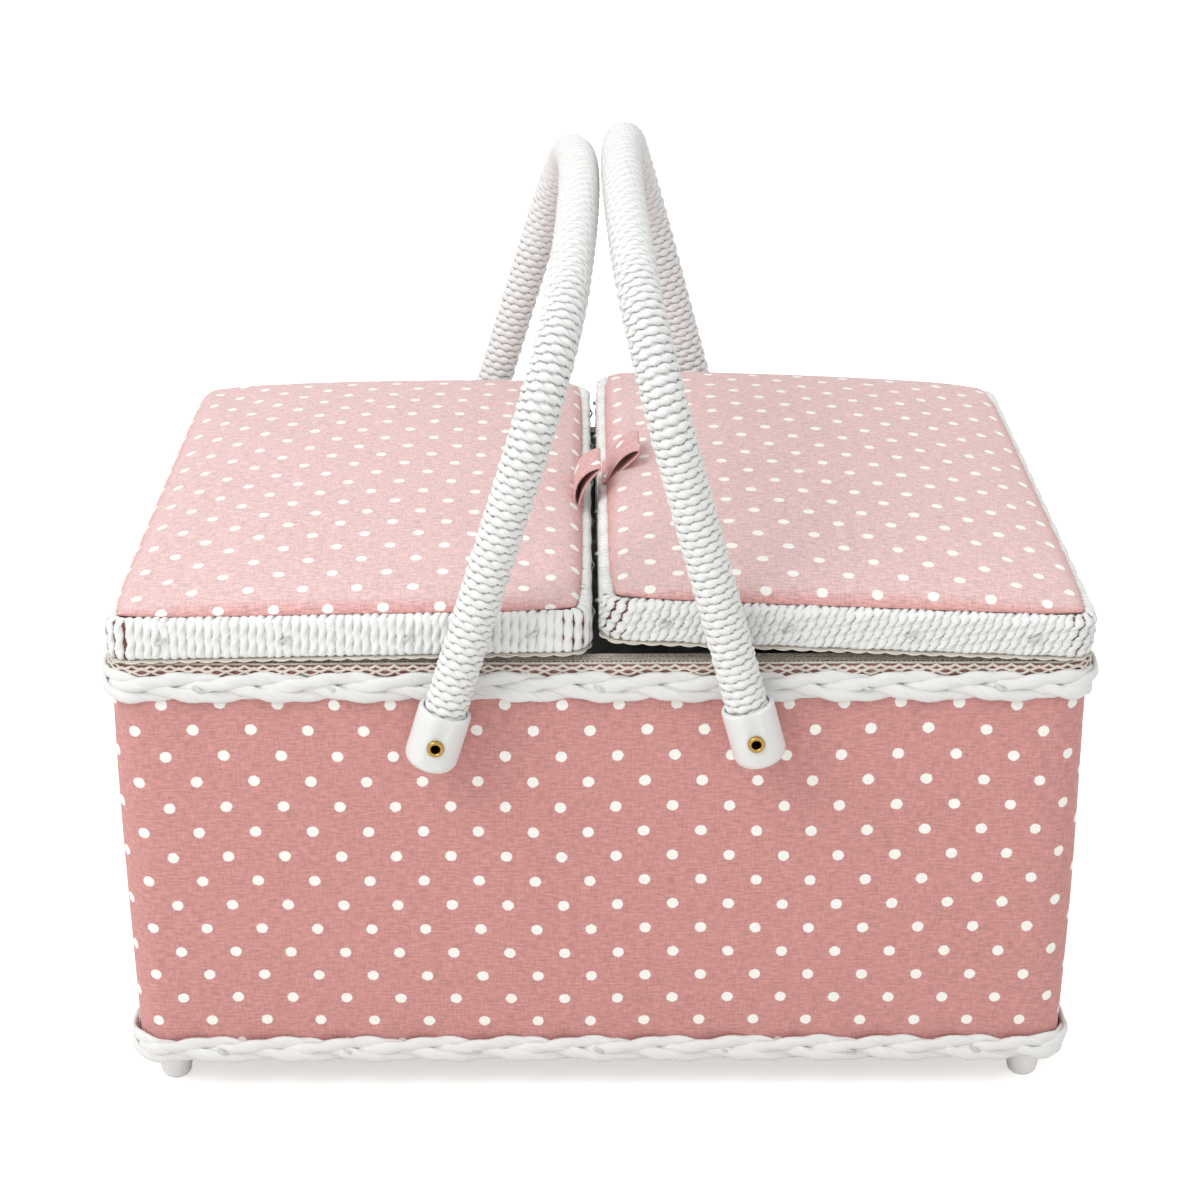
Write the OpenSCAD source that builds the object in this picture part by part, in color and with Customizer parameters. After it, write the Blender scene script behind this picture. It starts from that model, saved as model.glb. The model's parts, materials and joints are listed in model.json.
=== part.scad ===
// Sewing carrier with two lids.
// A padded, fabric-covered box on four feet. Two padded lids hinge at its short sides, and two hoop
// handles wound with paper cord fold outwards on rivets in its long sides.
// Millimetres, +Z up, front towards -Y. The origin is on the floor under the middle of the box.

/* [Box] */
// Width of the box over its fabric cover
body_w = 369; // [340:1:400]
// Depth of the box over its fabric cover
body_d = 266; // [240:1:290]
// Height of the walls
wall_h = 173; // [150:1:195]
// Thickness of the wall boards
board_t = 5; // [4:0.5:6.5]
// Thickness of the base board
base_t = 6; // [4:0.5:8]
// Thickness of the padded outer cover
cover_t = 2.5; // [1.5:0.1:3.5]
// Thickness of the inner lining
lining_t = 1.2; // [0.8:0.1:2]
// Radius of the box's upright corners over the cover
corner_r = 11; // [7:0.5:15]

/* [Trim] */
// Height of the plait round the top edge
top_braid_h = 12.5; // [9:0.5:14]
// Height of the plait round the bottom edge
bottom_braid_h = 11.5; // [8:0.5:14]
// Thickness of both plaits
braid_t = 3; // [2:0.1:3.5]
// How far the top plait lies below the walls' top edge
braid_drop = 1.5; // [1:0.1:3]
// Width of the crocheted lace on the walls' top edge
lace_w = 8; // [6:0.5:8.5]
// Thickness of the lace on the walls and under the lids
lace_t = 1; // [0.6:0.1:1.2]
// Distance between neighbouring staples in the plaits
staple_step = 50; // [35:1:80]
// Width of a staple's crown
staple_w = 5; // [4:0.5:8]
// Least distance of a staple from a corner
staple_end = 20; // [15:1:30]
// Slant of the staples in the plaits, in degrees
braid_slant = 25; // [0:5:45]
// Slant of the staples in the rims, in degrees
rim_slant = 30; // [0:5:45]
// Thickness of the staples' wire
staple_wire = 0.7; // [0.5:0.1:1]
// Length of the staples' legs
staple_leg = 5; // [3:0.5:6]

/* [Feet] */
// Height of the feet
foot_h = 14.5; // [10:0.5:20]
// Diameter of a foot under the base
foot_top_d = 16; // [13:0.5:20]
// Diameter of a foot on the floor
foot_tip_d = 11; // [8:0.5:13]
// Distance from the cover's faces to a foot's centre
foot_inset = 12.5; // [12:0.5:20]
// Diameter of the foot screws' shanks
foot_screw_d = 3.5; // [2.5:0.5:4.5]
// How far a foot screw reaches into its foot
foot_screw_bite = 9; // [6:0.5:9]

/* [Tray] */
// Height of the lift-out tray
tray_h = 36; // [25:1:50]
// Thickness of the tray's walls and floor
tray_wall = 1.8; // [1.2:0.1:2.5]
// Gap all round between the tray and the lining
tray_gap = 3; // [2.8:0.1:4]
// How far the tray's rim lies below the walls' top edge
tray_drop = 3.5; // [3:0.5:8]
// Width and height of the ledges that carry the tray
ledge = 6; // [5:0.5:9]
// Length of each ledge
ledge_len = 300; // [200:5:320]
// Cells in the tray's front row
front_cells = 3; // [2:1:5]
// Cells in the tray's back row
back_cells = 4; // [2:1:6]

/* [Lids] */
// How far the rims reach past the cover at the front and back
lid_over = 2; // [0:0.25:2.5]
// Gap between the two lids when both are flat
lid_gap = 2; // [2:0.5:6]
// How far the middle of that gap lies off the box's middle
gap_shift = -1.9; // [-3:0.1:3]
// Distance from a hinge's axis to the rim beside it
rim_inset = 3.7; // [3:0.1:9]
// Height of a rim
rim_h = 16.5; // [14:0.5:20]
// Thickness of a rim
rim_t = 6.5; // [5:0.5:8]
// Radius of a rim's upright outer corners
rim_corner_r = 10; // [7.5:0.5:14]
// Thickness of the cord bound round the rim's frame
binding_t = 1.25; // [0.8:0.05:1.5]
// Gap between the walls' lace and the rims' underside when a lid is flat
lid_lift = 1.5; // [1.3:0.1:3]
// Thickness of a lid's board
lid_board_t = 4; // [3:0.5:5]
// Thickness of a lid's lining
lid_lining_t = 1.2; // [0.8:0.1:1.8]
// Height of the lining above the rim's underside
lining_up = 2; // [1:0.5:3]
// Height of a pad's crown above its edge
pad_crown = 12; // [6:0.5:16]
// How far a pad's edge lies below the top of the rim
pad_edge_drop = 1.5; // [0.5:0.1:3]
// How far the left lid stands open at rest, in degrees
left_tilt = 1; // [0.5:0.1:3]
// How far the right lid stands open at rest, in degrees
right_tilt = 2.5; // [2:0.1:4]
// Distance from the right hinge to the middle of the pincushion
pincushion_out = 135; // [110:1:140]
// Radius of the pincushion
pincushion_r = 30; // [22:1:34]
// Width of the pocket under the left lid
pocket_w = 96; // [60:1:120]
// Length of the pocket under the left lid
pocket_len = 150; // [100:1:200]
// Thickness of the pocket
pocket_t = 3.5; // [2:0.5:3.5]
// Width of a pull tab
tab_w = 26; // [16:1:40]
// Length of a pull tab's loop
tab_len = 22; // [16:1:28]
// Width of the opening in a pull tab's loop
tab_open = 8; // [7:0.5:9]
// Thickness of a pull tab's cloth
tab_t = 1.2; // [0.8:0.1:1.6]
// How far the left pull tab leans over the gap between the lids, in degrees
left_tab_lean = 5; // [0:1:8]
// How far the right pull tab leans over its pad, in degrees
right_tab_lean = 30; // [0:1:32]
// How far the left pull tab stands in front of the rim's middle
left_tab_front = 15; // [0:1:60]
// How far the right pull tab stands in front of the rim's middle
right_tab_front = 0; // [0:1:60]
// Distance between neighbouring staples in a rim
rim_staple_step = 46; // [30:1:60]

/* [Hinges] */
// Length of a hinge
hinge_len = 32; // [24:1:44]
// Distance of each hinge from the middle of the short side
hinge_out = 75; // [50:1:95]
// Height of a hinge leaf
leaf_h = 12; // [9:0.5:12]
// Thickness of the hinge leaves
leaf_t = 1.2; // [0.8:0.1:1.4]
// Diameter of the hinge pins
pin_d = 2.4; // [2:0.1:2.6]
// Thickness of the metal rolled round a pin
knuckle_t = 0.95; // [0.7:0.05:1]
// Diameter of the hinge screws' shanks
hinge_screw_d = 2.2; // [1.6:0.1:2.6]

/* [Handles] */
// Distance between the two handles' rivets
pivot_span = 118.5; // [100:0.5:130]
// How far the middle of the rivets lies off the box's middle
pivot_shift = -1.75; // [-3:0.25:3]
// How far the left handle's rivets lie below the top plait
left_pivot_drop = 9; // [6:0.5:20]
// How far the right handle's rivets lie below the top plait
right_pivot_drop = 7.5; // [6:0.5:20]
// Length of the left handle, from rivet to the top's centre line
left_hoop_h = 182; // [170:0.5:200]
// Length of the right handle, from rivet to the top's centre line
right_hoop_h = 184.5; // [170:0.5:200]
// Radius of a handle's upper corners
hoop_corner_r = 57; // [45:1:70]
// Diameter of a handle over its winding
winding_d = 16.5; // [14:0.5:17.5]
// Diameter of a handle's cane core
core_d = 11.2; // [9:0.2:11.4]
// Turns of the modelled winding on each handle
winding_turns = 96; // [40:1:100]
// Depth of the grooves between the turns
groove = 1.1; // [0.4:0.1:1.2]
// Gap between a handle's winding and the plait
leg_gap = 2.25; // [2:0.25:5]
// Diameter of a handle's end cap
cap_d = 20; // [19:0.5:22]
// Length of a cap below the rivet
cap_below = 12; // [10:0.5:15]
// Length of a cap above the rivet
cap_above = 12.3; // [10:0.5:16]
// Radius of a cap's lower edge
cap_round = 5.5; // [3:0.5:7]
// Diameter of the tubular rivets
rivet_d = 4.6; // [4:0.2:5.4]
// Diameter of the rivets' rolled heads
rivet_head_d = 6.4; // [6:0.2:8]

/* [Fits] */
// Running gap round the rivets and hinge pins
run_gap = 0.05; // [0.03:0.01:0.08]
// Gap left round pieces that are set into another
seat_gap = 0.1; // [0.05:0.05:0.2]
// Gap left between soft pieces and what they rest on
soft_gap = 0.3; // [0.25:0.05:0.5]

/* [Hidden] */
$fn = 48;
eps = 1;
// Keeps a rolled edge just clear of the bore beside it
hair = 0.01;

// Box
wall_top = foot_h + wall_h;
inner_w = body_w - 2 * cover_t;
inner_d = body_d - 2 * cover_t;
inner_r = corner_r - cover_t;
room_w = inner_w - 2 * board_t;
room_d = inner_d - 2 * board_t;
well_w = room_w - 2 * lining_t;
well_d = room_d - 2 * lining_t;
braid_top = wall_top - braid_drop;
braid_out = body_w / 2 + braid_t;
lace_top = wall_top + lace_t;
foot_x = body_w / 2 - foot_inset;
foot_y = body_d / 2 - foot_inset;
foot_head_d = 2 * foot_screw_d;
foot_head_t = 2;

// Tray
tray_w = well_w - 2 * tray_gap;
tray_d = well_d - 2 * tray_gap;
tray_top = wall_top - tray_drop;
tray_z = tray_top - tray_h;
tray_r = 4;

// Hinges: the axis lies just outside the body leaf and just above the lace
knuckle_r = pin_d / 2 + run_gap + knuckle_t;
axis_out = 0.5;
axis_up = 0.3;
axis_off = leaf_t + axis_out;
hinge_x = braid_out + axis_off;
hinge_z = lace_top + axis_up;
knuckles = 5;
knuckle_gap = 0.15;
knuckle_len = hinge_len / knuckles - knuckle_gap;
pin_head_t = 0.8;
pin_head_r = knuckle_r - 0.3;
pin_half = hinge_len / 2 + seat_gap + pin_head_t;

// Hinge screws: x of their tips in the short wall, and their heights above and below the axis
screw_edge = 3.4;
screw_up = leaf_h - screw_edge;
screw_end = 5;
screw_spots = [-hinge_len / 2 + screw_end, 0, hinge_len / 2 - screw_end];
screw_skin = 0.8;
screw_room = 0.3;
screw_tip = inner_w / 2 - board_t + screw_skin;
screw_head_d = 2 * hinge_screw_d;
screw_head_t = 0.6;

// Lids, measured from the hinge axis towards the other lid and up
lid_d = body_d + 2 * lid_over;
rim_x0 = rim_inset;
function rim_x1(side) = hinge_x - side * gap_shift - lid_gap / 2;
function rim_w(side) = rim_x1(side) - rim_x0;
function rim_mid(side) = (rim_x0 + rim_x1(side)) / 2;
rim_z = lace_top + lid_lift - hinge_z;
rim_top = rim_z + rim_h;
frame_t = rim_t - 2 * binding_t;
lid_screw_tip = rim_x0 + binding_t + frame_t - screw_skin;
lid_lace_t = 0.8 * lace_t;
lid_lace_in = 0.5;
function panel_w(side) = rim_w(side) - 2 * rim_t - 2 * seat_gap;
panel_d = lid_d - 2 * rim_t - 2 * seat_gap;
panel_r = rim_corner_r - rim_t - seat_gap;
lining_z = rim_z + lining_up;
lid_board_z = lining_z + lid_lining_t;
pad_z = lid_board_z + lid_board_t;
pocket_r = 8;
tab_foot_w = rim_t - 1.5;

// Pads: grid cells along a side, how far the sides draw in and how sharply, and the crown's fullness
pad_cells = 18;
pad_draw = 0.022;
pad_square = 8;
pad_fullness = 0.35;

// Handles
hoop_arc = 75;
crown_arc = 2 * (90 - hoop_arc);
winding_r = winding_d / 2;
core_r = core_d / 2;
cap_r = cap_d / 2;
cap_lip = 1;
cap_floor = 3;
cap_wall = 2;
cap_face = 0.8;
cap_flat = cap_r - cap_face;
leg_y = body_d / 2 + braid_t + leg_gap + winding_r;
crown_end_y = leg_y - hoop_corner_r * (1 - cos(hoop_arc));
crown_r = crown_end_y / sin(crown_arc / 2);
joint_out = 0.15;
crown_rise = crown_r * (1 - cos(crown_arc / 2));
core_z = cap_floor - cap_below;
rivet_r = rivet_d / 2;
winding_z = rivet_r + cap_wall;
// The hoops lean until they nearly touch at meet_x
meet_x = 0.8;
hoop_apart = 0.4;
function hoop_lean(side) =
    asin((side * (pivot_x(side) - meet_x) - hoop_apart / 2 - winding_r) / hoop_h(side));
winding_sides = 8;
winding_end = 6;
bore_steps = 9;
winding_bore = (core_r + soft_gap) / cos(180 / winding_sides);
rivet_wall = 0.6;
rivet_bore_r = rivet_r - rivet_wall;
rivet_roll = (rivet_head_d / 2 - rivet_bore_r) / 2;
spacer_t = leg_y - cap_flat - body_d / 2 - run_gap;
spacer_w = 3;
spacer_r = rivet_r + spacer_w;
washer_w = 3.5;
washer_r = rivet_r + washer_w;
washer_t = 1;
flare_w = 1;
flare_r = rivet_r + flare_w;
flare_t = 0.8;
rivet_out = leg_y + cap_flat;
rivet_in = well_d / 2 - washer_t;

// ---------------------------------------------------------------- shared shapes

// A flat slab with rounded upright corners, centred on the Z axis and standing on z = 0
module slab(w, d, r, h) {
    union() {
        translate([-w / 2 + r, -d / 2, 0]) cube([w - 2 * r, d, h]);
        translate([-w / 2, -d / 2 + r, 0]) cube([w, d - 2 * r, h]);
        for (x = [-1, 1], y = [-1, 1])
            translate([x * (w / 2 - r), y * (d / 2 - r), 0]) cylinder(r = r, h = h);
    }
}

// An upright band of thickness t that follows the slab's outline inwards
module band(w, d, r, h, t) {
    difference() {
        slab(w, d, r, h);
        translate([0, 0, -eps]) slab(w - 2 * t, d - 2 * t, r - t, h + 2 * eps);
    }
}

// A round bar along Y from y0 to y1
module bar_y(r, y0, y1) {
    translate([0, y1, 0]) rotate([90, 0, 0]) cylinder(r = r, h = y1 - y0);
}

// A round bar along X from x0 to x1
module bar_x(r, x0, x1) {
    translate([x0, 0, 0]) rotate([0, 90, 0]) cylinder(r = r, h = x1 - x0);
}

// A staple with its crown on the plane y = 0 and its legs along +Y
module staple() {
    union() {
        translate([-staple_w / 2, -staple_wire, -staple_wire / 2])
            cube([staple_w, staple_wire, staple_wire]);
        for (x = [-1, 1])
            translate([x * (staple_w - staple_wire) / 2 - staple_wire / 2, -staple_wire, -staple_wire / 2])
                cube([staple_wire, staple_leg + staple_wire, staple_wire]);
    }
}

// Staples along one side of a band: the side's turn from the front, its length and its distance from
// the middle, with one staple every step, set aslant
module staple_row(turn, len, out, z, step, slant) {
    last = floor((len - 2 * staple_end) / step);
    rotate([0, 0, turn]) for (i = [0 : last])
        translate([(i - last / 2) * step, -out, z]) rotate([0, slant, 0]) staple();
}

// Lids are drawn for the left side, with the hinge axis on the Y axis, and mirrored for the right
module lid_place(side) {
    tilt = side < 0 ? left_tilt : right_tilt;
    translate([side * hinge_x, 0, hinge_z]) rotate([0, side * tilt, 0]) handed(side) children();
}

// Drawn for side -1 and mirrored for side 1
module handed(side) {
    if (side > 0) mirror([1, 0, 0]) children();
    else children();
}

// Where each handle turns, and its length above that
function pivot_x(side) = pivot_shift + side * pivot_span / 2;
function pivot_z(side) = braid_top - top_braid_h - (side < 0 ? left_pivot_drop : right_pivot_drop);
function hoop_h(side) = side < 0 ? left_hoop_h : right_hoop_h;

// Children drawn for the front wall, placed at a handle's pivot and turned for the back wall
module pivot_place(side, s) {
    translate([pivot_x(side), 0, pivot_z(side)]) rotate([0, 0, s < 0 ? 0 : 180]) children();
}

// The four rivet holes in the front and back walls
module pivot_holes() {
    for (side = [-1, 1], s = [-1, 1]) pivot_place(side, s) bar_y(rivet_r + run_gap, -body_d, -well_d / 4);
}

// ---------------------------------------------------------------- box

module base_board() {
    color("burlywood") difference() {
        translate([-room_w / 2, -room_d / 2, foot_h]) cube([room_w, room_d, base_t]);
        for (x = [-1, 1], y = [-1, 1]) translate([x * foot_x, y * foot_y, foot_h]) {
            translate([0, 0, -eps]) cylinder(d = foot_screw_d, h = base_t + 2 * eps);
            translate([0, 0, base_t - foot_head_t]) cylinder(d = foot_head_d, h = foot_head_t + eps);
        }
    }
}

// A long wall; the rounded outline of the box trims its ends
module long_panel(s) {
    color("burlywood") difference() {
        intersection() {
            translate([0, 0, foot_h]) slab(inner_w, inner_d, inner_r, wall_h);
            translate([-body_w / 2, s < 0 ? -inner_d / 2 : inner_d / 2 - board_t, foot_h])
                cube([body_w, board_t, wall_h]);
        }
        pivot_holes();
    }
}

// A short wall, held between the long ones
module short_panel(s) {
    color("burlywood") difference() {
        intersection() {
            translate([0, 0, foot_h]) slab(inner_w, inner_d, inner_r, wall_h);
            translate([s < 0 ? -inner_w / 2 : inner_w / 2 - board_t, -room_d / 2, foot_h])
                cube([board_t, room_d, wall_h]);
        }
        hinge_body_screw_holes();
    }
}

module body_cover() {
    color("#d98a93") difference() {
        translate([0, 0, foot_h]) band(body_w, body_d, corner_r, wall_h, cover_t);
        pivot_holes();
        hinge_body_screw_holes();
    }
}

module body_lining() {
    color("#f4efe6") difference() {
        translate([-room_w / 2, -room_d / 2, foot_h + base_t]) cube([room_w, room_d, wall_h - base_t]);
        translate([-well_w / 2, -well_d / 2, foot_h + base_t + lining_t]) cube([well_w, well_d, wall_h]);
        pivot_holes();
    }
}

module top_braid() {
    color("#f1efe9") difference() {
        translate([0, 0, braid_top - top_braid_h])
            band(body_w + 2 * braid_t, body_d + 2 * braid_t, corner_r + braid_t, top_braid_h, braid_t);
        hinge_body_screw_holes();
    }
}

module bottom_braid() {
    color("#f1efe9") translate([0, 0, foot_h])
        band(body_w + 2 * braid_t, body_d + 2 * braid_t, corner_r + braid_t, bottom_braid_h, braid_t);
}

// The lace lies on the top edge and turns down over the cover as far as the plait
module wall_lace() {
    out = lace_t;
    color("#efe9de") union() {
        translate([0, 0, wall_top])
            band(body_w + 2 * out, body_d + 2 * out, corner_r + out, lace_t, lace_w);
        translate([0, 0, braid_top])
            band(body_w + 2 * out, body_d + 2 * out, corner_r + out, braid_drop + lace_t / 2, out);
    }
}

module braid_staples() {
    color("silver") for (z = [braid_top - top_braid_h / 2, foot_h + bottom_braid_h / 2]) {
        for (a = [0, 180]) staple_row(a, body_w, body_d / 2 + braid_t, z, staple_step, braid_slant);
        for (a = [90, 270]) staple_row(a, body_d, braid_out, z, staple_step, braid_slant);
    }
}

module foot(x, y) {
    color("#eeece6") difference() {
        translate([x * foot_x, y * foot_y, 0]) cylinder(d1 = foot_tip_d, d2 = foot_top_d, h = foot_h);
        translate([x * foot_x, y * foot_y, foot_h - foot_screw_bite])
            cylinder(d = foot_screw_d, h = foot_screw_bite + eps);
    }
}

module foot_screws() {
    color("silver") for (x = [-1, 1], y = [-1, 1]) translate([x * foot_x, y * foot_y, 0]) {
        union() {
            translate([0, 0, foot_h - foot_screw_bite])
                cylinder(d = foot_screw_d, h = foot_screw_bite + base_t - foot_head_t / 2);
            translate([0, 0, foot_h + base_t - foot_head_t]) cylinder(d = foot_head_d, h = foot_head_t);
        }
    }
}

// ---------------------------------------------------------------- tray

module tray() {
    inside_w = tray_w - 2 * tray_wall;
    row_d = (tray_d - 3 * tray_wall) / 2;
    color("#eef0f0", 0.9) difference() {
        translate([0, 0, tray_z]) slab(tray_w, tray_d, tray_r, tray_h);
        for (row = [[front_cells, -1], [back_cells, 1]]) {
            cell_w = (inside_w - (row[0] - 1) * tray_wall) / row[0];
            for (i = [0 : row[0] - 1])
                translate([
                    -inside_w / 2 + i * (cell_w + tray_wall),
                    row[1] < 0 ? -row_d - tray_wall / 2 : tray_wall / 2,
                    tray_z + tray_wall
                ]) cube([cell_w, row_d, tray_h]);
        }
    }
}

module tray_rests() {
    color("burlywood") for (s = [-1, 1])
        translate([-ledge_len / 2, s < 0 ? -well_d / 2 : well_d / 2 - ledge, tray_z - ledge])
            cube([ledge_len, ledge, ledge]);
}

// ---------------------------------------------------------------- hinges

// y of the start of knuckle i
function knuckle_y(i) = -hinge_len / 2 + i * hinge_len / knuckles + knuckle_gap / 2;

// The body's leaf is drawn for the right side, with the wall towards -X
module body_leaf() {
    difference() {
        union() {
            translate([-axis_off, -hinge_len / 2, -leaf_h])
                cube([leaf_t, hinge_len, leaf_h - knuckle_r - seat_gap]);
            for (i = [0 : 2 : knuckles - 1]) translate([0, knuckle_y(i), 0]) {
                translate([-axis_off, 0, -leaf_h]) cube([leaf_t, knuckle_len, leaf_h]);
                bar_y(knuckle_r, 0, knuckle_len);
            }
        }
        bar_y(pin_d / 2 + run_gap, -hinge_len, hinge_len);
        for (y = screw_spots) translate([0, y, -screw_up])
            bar_x(hinge_screw_d / 2 + run_gap, -2 * axis_off, axis_off);
    }
}

module hinge_body_leaves(side) {
    color("goldenrod") for (y = [-1, 1])
        translate([side * hinge_x, y * hinge_out, hinge_z]) handed(-side) body_leaf();
}

module hinge_pins(side) {
    color("goldenrod") for (y = [-1, 1]) translate([side * hinge_x, y * hinge_out, hinge_z]) {
        union() {
            bar_y(pin_d / 2, -pin_half, pin_half);
            bar_y(pin_head_r, -pin_half, pin_head_t - pin_half);
            bar_y(pin_head_r, pin_half - pin_head_t, pin_half);
        }
    }
}

// Screw holes for the body leaves, through plait, cover and short wall
module hinge_body_screw_holes() {
    for (s = [-1, 1], y = [-1, 1], spot = screw_spots)
        translate([0, y * hinge_out + spot, hinge_z - screw_up])
            handed(-s) bar_x(hinge_screw_d / 2 + run_gap, screw_tip - screw_room, hinge_x);
}

module hinge_body_screws() {
    color("goldenrod") for (s = [-1, 1], y = [-1, 1], spot = screw_spots)
        translate([0, y * hinge_out + spot, hinge_z - screw_up]) handed(-s) union() {
            bar_x(hinge_screw_d / 2, screw_tip, braid_out + leaf_t);
            bar_x(screw_head_d / 2, braid_out + leaf_t, braid_out + leaf_t + screw_head_t);
        }
}

// The lid's leaf lies on the rim's outer face; webs carry its knuckles out to the pin
module lid_leaf() {
    difference() {
        union() {
            translate([rim_x0 - leaf_t, -hinge_len / 2, 0]) cube([leaf_t, hinge_len, leaf_h]);
            for (i = [1 : 2 : knuckles - 1]) translate([0, knuckle_y(i), 0]) {
                cube([rim_x0 - leaf_t / 2, knuckle_len, leaf_t]);
                bar_y(knuckle_r, 0, knuckle_len);
            }
        }
        bar_y(pin_d / 2 + run_gap, -hinge_len, hinge_len);
        for (y = screw_spots) translate([0, y, screw_up])
            bar_x(hinge_screw_d / 2 + run_gap, rim_x0 - 2 * leaf_t, rim_x0 + leaf_t);
    }
}

module hinge_lid_leaves(side) {
    color("goldenrod") lid_place(side) for (y = [-1, 1]) translate([0, y * hinge_out, 0]) lid_leaf();
}

// Screw holes for the lid leaves, through the binding into the frame
module hinge_lid_screw_holes() {
    for (y = [-1, 1], spot = screw_spots) translate([0, y * hinge_out + spot, screw_up])
        bar_x(hinge_screw_d / 2 + run_gap, rim_x0 - eps, lid_screw_tip + screw_room);
}

module hinge_lid_screws(side) {
    color("goldenrod") lid_place(side) for (y = [-1, 1], spot = screw_spots)
        translate([0, y * hinge_out + spot, screw_up]) union() {
            bar_x(hinge_screw_d / 2, rim_x0 - leaf_t, lid_screw_tip);
            bar_x(screw_head_d / 2, rim_x0 - leaf_t - screw_head_t, rim_x0 - leaf_t);
        }
}

// ---------------------------------------------------------------- lids

module lid_frame(side) {
    color("tan") lid_place(side) difference() {
        translate([rim_mid(side), 0, rim_z + binding_t])
            band(rim_w(side) - 2 * binding_t, lid_d - 2 * binding_t, rim_corner_r - binding_t,
                 rim_h - 2 * binding_t, frame_t);
        hinge_lid_screw_holes();
    }
}

// The paper cord bound closely round the frame on all its faces
module lid_binding(side) {
    color("#f3f1ec") lid_place(side) difference() {
        translate([rim_mid(side), 0, rim_z]) band(rim_w(side), lid_d, rim_corner_r, rim_h, rim_t);
        translate([rim_mid(side), 0, rim_z + binding_t])
            band(rim_w(side) - 2 * binding_t, lid_d - 2 * binding_t, rim_corner_r - binding_t,
                 rim_h - 2 * binding_t, frame_t);
        hinge_lid_screw_holes();
    }
}

module lid_board(side) {
    color("burlywood") lid_place(side)
        translate([rim_mid(side), 0, lid_board_z]) slab(panel_w(side), panel_d, panel_r, lid_board_t);
}

module lid_lining(side) {
    color("#f4efe6") lid_place(side)
        translate([rim_mid(side), 0, lining_z]) slab(panel_w(side), panel_d, panel_r, lid_lining_t);
}

module lid_lace(side) {
    color("#efe9de") lid_place(side) translate([rim_mid(side), 0, rim_z - lid_lace_t])
        band(rim_w(side) - 2 * lid_lace_in, lid_d - 2 * lid_lace_in, rim_corner_r - lid_lace_in, lid_lace_t,
             rim_t - 2 * lid_lace_in);
}

// The hinge side has none, because its hinge leaves lie there
module lid_staples(side) {
    z = rim_z + rim_h / 2;
    color("silver") lid_place(side) translate([rim_mid(side), 0, 0]) {
        for (a = [0, 180]) staple_row(a, rim_w(side), lid_d / 2, z, rim_staple_step, -rim_slant);
        staple_row(90, lid_d, rim_w(side) / 2, z, rim_staple_step, -rim_slant);
    }
}

// Pad: a crowned cushion whose sides draw in towards its corners, on a grid that is finer at its edges
function pad_t(i) = sin(90 * (2 * i / pad_cells - 1));
function pad_point(u, v, a, b, edge_z) = [
    a * u * (1 - pad_draw * pow(v, pad_square)),
    b * v * (1 - pad_draw * pow(u, pad_square)),
    edge_z + pad_crown * pow(max(0, (1 - u * u) * (1 - v * v)), pad_fullness)
];
// Grid indices of the pad's edge, once round
function pad_edge() = concat(
    [for (i = [0 : pad_cells - 1]) [i, 0]],
    [for (j = [0 : pad_cells - 1]) [pad_cells, j]],
    [for (i = [0 : pad_cells - 1]) [pad_cells - i, pad_cells]],
    [for (j = [0 : pad_cells - 1]) [0, pad_cells - j]]
);

module pad_form(w, d, edge_z) {
    n = pad_cells + 1;
    ring = pad_edge();
    count = len(ring);
    top = [for (j = [0 : pad_cells], i = [0 : pad_cells])
        pad_point(pad_t(i), pad_t(j), w / 2, d / 2, edge_z)];
    foot = [for (p = ring) let (q = top[p[1] * n + p[0]]) [q[0], q[1], 0]];
    base = n * n;
    mid = base + count;
    skin = [for (j = [0 : pad_cells - 1], i = [0 : pad_cells - 1]) let (a = j * n + i)
        each [[a, a + n, a + n + 1], [a, a + n + 1, a + 1]]];
    sides = [for (k = [0 : count - 1])
        let (k2 = (k + 1) % count, a = ring[k][1] * n + ring[k][0], b = ring[k2][1] * n + ring[k2][0])
        each [[a, b, base + k2], [a, base + k2, base + k]]];
    under = [for (k = [0 : count - 1]) [mid, base + k, base + (k + 1) % count]];
    polyhedron(points = concat(top, foot, [[0, 0, 0]]), faces = concat(skin, sides, under), convexity = 4);
}

module lid_pad(side) {
    w = panel_w(side) - 2 * soft_gap;
    d = panel_d - 2 * soft_gap;
    color("#e3949c") lid_place(side)
        translate([rim_mid(side), 0, pad_z]) pad_form(w, d, rim_top - pad_edge_drop - pad_z);
}

// Pull tab: a strip of cloth in a drop-shaped loop, drawn as its outline and cut to its width.
// sin(a) * sin(a / 2) is widest, at tab_bulge, near the loop's far end.
tab_bulge = 4 / sqrt(27);
function tab_outline(grow) = [for (a = [0 : 15 : 345]) [
    sin(a) * (tab_open / 2 / tab_bulge * sin(a / 2) + grow),
    pow(sin(a / 2), 2) * tab_len - cos(a) * grow
]];

module pull_tab(side, lean, front) {
    at = [rim_x1(side) - rim_t / 2, -front, rim_top];
    color("#d98a93") lid_place(side) translate(at) rotate([90, 0, 0])
        linear_extrude(height = tab_w, center = true) union() {
            translate([-tab_foot_w / 2, 0]) square([tab_foot_w, tab_t]);
            translate([0, tab_t]) rotate(lean) difference() {
                polygon(tab_outline(tab_t));
                polygon(tab_outline(0));
            }
        }
}

module notions_pocket() {
    color("#f4efe6") lid_place(-1) translate([rim_mid(-1), 0, lining_z - pocket_t])
        slab(pocket_w, pocket_len, pocket_r, pocket_t);
}

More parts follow.
